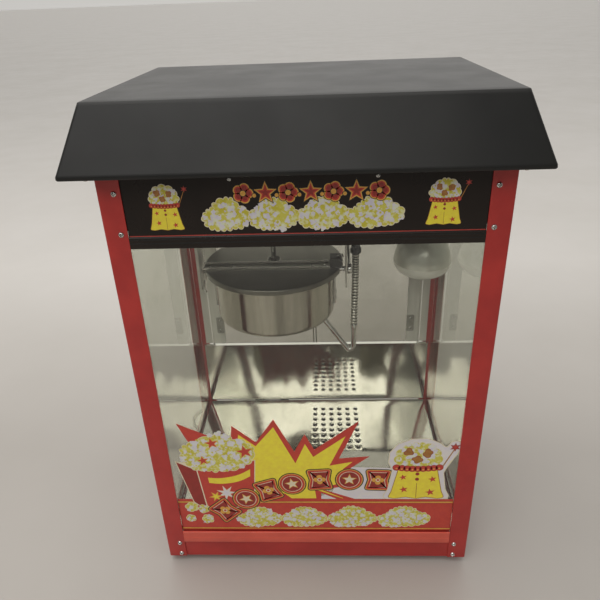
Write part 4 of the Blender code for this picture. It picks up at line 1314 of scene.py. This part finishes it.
def mound(left, right, low, high):
    """A popcorn pile's outline: higher in the middle, with a lower shoulder on each side."""
    width, height = right - left, high - low
    shares = [(0.1, 0.08), (0.34, 0.0), (0.6, 0.04), (0.84, 0.1), (0.99, 0.38), (0.92, 0.62), (0.76, 0.72),
              (0.66, 0.94), (0.46, 1.0), (0.3, 0.88), (0.16, 0.62), (0.0, 0.46)]
    return [(left + a * width, low + b * height) for a, b in shares]


def glass_prints():
    """The transfers on the front glass."""
    rng = random.Random(11)
    burst = Print("print_starburst", GLASS_FACE, 0)
    burst.shape([(50, 213), (122, 211), (121, 145), (0, 145), (30, 160)], WHITE)
    outer = [(-205, 301), (-156, 276), (-125, 262), (-121, 296), (-86, 264), (-57, 308), (-28, 245),
             (-11, 279), (3, 249), (71, 304), (41, 231), (88, 235), (59, 211), (60, 175), (16, 165),
             (68, 144), (38, 144), (12, 158), (12, 144), (-178, 144), (-185, 250)]
    inner = [(-172, 274), (-140, 262), (-117, 250), (-112, 279), (-87, 256), (-58, 293), (-27, 221),
             (-11, 260), (1, 234), (51, 275), (26, 216), (62, 224), (47, 209), (48, 180), (6, 168),
             (48, 146), (46, 146), (2, 166), (4, 146), (-36, 146), (-47, 157), (-58, 146), (-172, 146)]
    burst.shape(outer, RED)
    burst.shape(inner, YELLOW)
    burst.done()

    band = Print("print_band", GLASS_FACE, 4)
    end = 223.4
    band.shape(rectangle((-end, 71.0), (end, 144.5)), DARK_RED)
    band.shape(rectangle((-end, 73.6), (end, 144.5)), RED)
    for low, high in ((136.0, 138.8), (75.8, 78.2)):
        for margin, ink_number in ((0.8, DARK_RED), (0, GOLD)):
            band.shape(rectangle((-end, low - margin), (end, high + margin)), ink_number)
    piles = ((-129, -52, 126), (-56, 24, 127), (21, 104, 128), (101, 192, 127))
    for number, (left, right, high) in enumerate(piles):
        band.level = 13 + 22 * (number % 2)
        band.popcorn(rng, mound(left + 3, right - 3, 84, high - 2), 8.4, 9.6)
    band.done()

    box = Print("print_popcorn_box", GLASS_FACE, 18)
    box.stack([(-215, 224), (-150, 214), (-91, 227), (-98, 131), (-175, 118), (-196, 138)], ((1.4, CREAM),))
    box.shape([(-215, 224), (-184, 206), (-175, 118), (-196, 138)], DARK_RED)
    box.shape([(-184, 206), (-91, 227), (-98, 131), (-175, 118)], RED)
    box.shape([(-184.9, 206), (-183.1, 206), (-174.1, 118.6), (-175.9, 118.2)], CREAM)
    upper = spline_points([(-168, 191, 0), (-150, 190, 0), (-131, 193, 0), (-115, 199, 0), (-99, 209, 0)], 5)
    lower = spline_points([(-100, 194, 0), (-115, 185, 0), (-131, 180, 0), (-150, 178, 0), (-167, 180, 0)], 5)
    box.shape([(p.x, p.y) for p in upper + lower], YELLOW)
    box.stack(star(-141, 158, 17, 6.5, 7, 1.9), ((0, CREAM), (-1.2, WHITE)))
    box.stack(star(-159, 150, 12, 5, 6, 1.2), ((0, GOLD), (-1.6, YELLOW)))
    heap = [(-203, 243), (-194, 258), (-178, 265), (-160, 275), (-140, 278), (-124, 267), (-102, 261),
            (-92, 247), (-96, 229), (-117, 212), (-149, 208), (-181, 210), (-200, 223)]
    box.popcorn(rng, heap, 12.5, 13.5)
    box.level += 1
    for x, z, size in ((-155, 262, 10), (-105, 245, 12.5), (-172, 227, 8.5)):
        box.stack(star(x, z, size, size * 0.4, 5, 1.75), ((0.9, GOLD), (0, RED)))
    for x, z, size in ((-201, 127, 11), (-182, 122, 9), (-206, 101, 8), (-178, 99, 9.5)):
        box.level = 60
        box.popcorn(rng, circle(size * 0.8, 5, (x, z)), size * 0.8, size * 0.75)
    box.done()
    ribbon_tiles()
    bag = Print("print_bag_motif", GLASS_FACE, 104)
    bag_motif(bag, rng, 163, 146, 126, True)
    bag.done()


def ribbon_tiles():
    """Seven plain show tiles along an arc, each with a flower or a star: no lettering."""
    tiles = Print("print_show_tiles", GLASS_FACE, 84)
    places = [(-147, 119, 0.72), (-110, 145, 0.5), (-73, 164, 0.34), (-34, 178, 0.2), (10, 187, 0.06),
              (57, 187, -0.03), (102, 186, -0.04)]
    for number, (x, z, lean) in enumerate(places):
        wide, high = (21.0, 21.5) if number % 2 else (19.8, 21.0)
        c, s = math.cos(lean), math.sin(lean)
        tiles.level = 84 if number % 2 else 92

        def placed(points):
            return [(x + a * c - b * s, z + a * s + b * c) for a, b in points]

        if number % 2:
            body = [(wide * a, high * b) for a, b in circle(1, 40)]
        else:
            body = rounded([(-wide, -high), (wide, -high), (wide * 0.78, 0), (wide, high), (-wide, high),
                            (-wide * 0.78, 0)], 4.5, 5)
        tiles.stack(placed(body), ((1.8, BLACK), (0.2, GOLD), (-1.2, RED), (-4.6, CREAM), (-5.6, DARK_RED)))
        if number % 2:
            tiles.shape(placed(star(0, 0, 12.5, 5.4, 5)), GOLD)
            tiles.shape(placed(star(0, 0, 9.5, 4.2, 5)), CREAM)
        else:
            tiles.level += 1
            for a, b in circle(5.4, 4):
                tiles.shape(placed(circle(4.4, 20, (a, b))), GOLD, True)
            tiles.shape(placed(circle(3.6, 20)), CREAM)
            tiles.shape(placed(circle(2.2, 16)), RED)
    tiles.done()


def bag_motif(sheet, rng, x, z, height, border):
    """A paper bag of popcorn with stars on it, a scalloped collar and a star on a stick."""
    s = height / 126

    def at(points):
        return [(x + a * s, z + b * s) for a, b in points]

    bag = [(-34, 1), (-44, 3), (-39, 16), (-29, 66), (29, 66), (39, 16), (44, 3), (34, 1), (16, 4), (0, 1),
           (-16, 4)]
    heap = [(-33, 76), (-33, 90), (-25, 103), (-10, 112), (9, 113), (25, 104), (33, 90), (33, 76), (20, 64),
            (-20, 64)]
    if border:
        edge = [(-50, -1), (-53, 6), (-46, 20), (-40, 60), (-46, 76), (-45, 97), (-33, 114), (-12, 124),
                (12, 125), (33, 115), (41, 106), (48, 119), (58, 121), (65, 112), (60, 96), (52, 80),
                (45, 66), (41, 56), (46, 20), (53, 6), (50, -1)]
        sheet.stack(at(rounded(edge, 8, 5)), ((0, CREAM), (-1.4 * s, WHITE)))
    sheet.shape(at([(34, 62), (36, 61.4), (54.5, 104), (52.8, 104.6)]), CARAMEL)
    sheet.stack(at(star(54, 107, 9.0, 4.2, 6)), ((0, DARK_RED), (-1.6 * s, RED)))
    sheet.popcorn(rng, at(heap), 13 * s, 13 * s)
    for a, b in ((-15, 98), (14, 95), (-2, 82)):
        kernel = kernel_outline(rng, x + a * s, z + b * s, 8.0 * s)
        sheet.stack(kernel, ((0.9 * s, DARK_RED), (0, CARAMEL)))
    sheet.stack(at(rounded(bag, 3, 4)), ((1.1 * s, CARAMEL), (0, YELLOW)))
    collar = [(-33 + 8.25 * i, 67 - 3.5 * math.cos((i - 4) * 0.35)) for i in range(9)]
    sheet.level += 3
    for ink_number, size, drop in ((DARK_RED, 6.4, 0), (RED, 5.6, 0), (GOLD, 1.5, 2.0)):
        for a, b in collar:
            sheet.shape(at(circle(size, 20, (a, b - drop))), ink_number, True)
        sheet.level += 1
    for a, b, size in ((-20, 20, 7.5), (22, 14, 8.0), (-22, 46, 6.5), (24, 42, 7.0)):
        sheet.shape(at(star(a, b, size, size * 0.4, 5, 1.8)), RED, True)
    for b in (53, 42):
        sheet.shape(at(circle(3.2, 18, (0, b))), DARK_RED, True)
    sheet.shape(at([(-0.5, 2), (0.5, 2), (0.5, 34), (-0.5, 34)]), CARAMEL, True)


def header_prints():
    """The transfers on the black header."""
    rng = random.Random(5)
    row = Print("print_header_popcorn", HEADER_FACE, 0)
    row.shape(rectangle((-222.5, 600.6), (222.5, 604.4)), DARK_RED)
    row.shape(rectangle((-222.5, 601.2), (222.5, 603.8)), RED)
    piles = ((-128, -64, 652), (-71, -4, 651), (-12, 60, 651), (52, 124, 652))
    for number, (left, right, high) in enumerate(piles):
        row.level = 4 + 22 * (number % 2)
        row.popcorn(rng, mound(left + 3, right - 3, 612, high - 3), 8.0, 9.2)
    row.done()
    ornaments = Print("print_header_ornaments", HEADER_FACE, 50)
    for number in range(7):
        x, z = -74 + 27.5 * number, 656.5
        ornaments.level = 50
        if number % 2:
            layers = ((1.0, BLACK), (0, GOLD), (-1.5, RED), (-3.2, DARK_RED))
            ornaments.stack(star(x, z, 14.5, 6.4, 5), layers)
        else:
            for ink_number, size in ((BLACK, 7.2), (GOLD, 6.4), (RED, 5.0), (DARK_RED, 3.2)):
                ornaments.level += 1
                for a, b in circle(6.6, 5):
                    ornaments.shape(circle(size, 20, (x + a, z + b)), ink_number, True)
            ornaments.stack(circle(3.4, 20, (x, z)), ((0.8, BLACK), (0, GOLD)))
        if number < 6:
            ornaments.level = 60
            ornaments.stack(circle(2.4, 16, (x + 13.7, z - 3)), ((0.8, BLACK), (0, GOLD)))
    ornaments.done()
    for side, x in (("left", -172), ("right", 170)):
        motif = Print("print_header_bag_" + side, HEADER_FACE, 4)
        bag_motif(motif, rng, x, 611, 62, False)
        motif.done()


# Carried-over CAD nodes ----------------------------------------------------------------------------

CARRIED = {
    "base_pan": (RED_PAINT, 0.0006),
    "top_plate": (BLACK_PAINT, 0.0004),
    "rear_header": (BLACK_PAINT, 0.0004),
    "ceiling": (CEILING_SHADE, 0.0003),
    "rear_panel": (MIRROR, 0.0004),
    "glass_front": (GLASS, 0.0005),
    "glass_left": (SIDE_GLASS, 0.0005),
    "glass_right": (SIDE_GLASS, 0.0005),
    "door_left": (DOOR_GLASS, 0.0005),
    "door_right": (DOOR_GLASS, 0.0005),
    "drawer": (BRUSHED_X, 0.0004),
    "switch_plate": (PLASTIC, 0.0008),
    "rocker_heat": (SWITCH_RED, 0.0006),
    "rocker_stir": (SWITCH_GREEN, 0.0006),
    "rocker_lamp": (SWITCH_GREEN, 0.0006),
    "magnet_catch": (PLASTIC, 0.0008),
    "gear_motor": (CAST, 0.0012),
}


def carried_nodes():
    """Materials and soft edges for the CAD nodes that stay visible."""
    for name, (material, width) in CARRIED.items():
        obj = nodes[name]
        obj.data.materials.clear()
        obj.data.materials.append(material)
        weld = obj.modifiers.new("weld", "WELD")
        weld.merge_threshold = 0.00002
        bevelled(obj, width, 2)


for build in (camera, studio, cord, posts, front_rail, roof, header_panel, deck, door_details, operator_side,
              feet, kettle, stirrer, hangers, handle, latch, power_lead, lamp, heater, glass_prints,
              header_prints, carried_nodes):
    build()
bpy.context.view_layer.update()
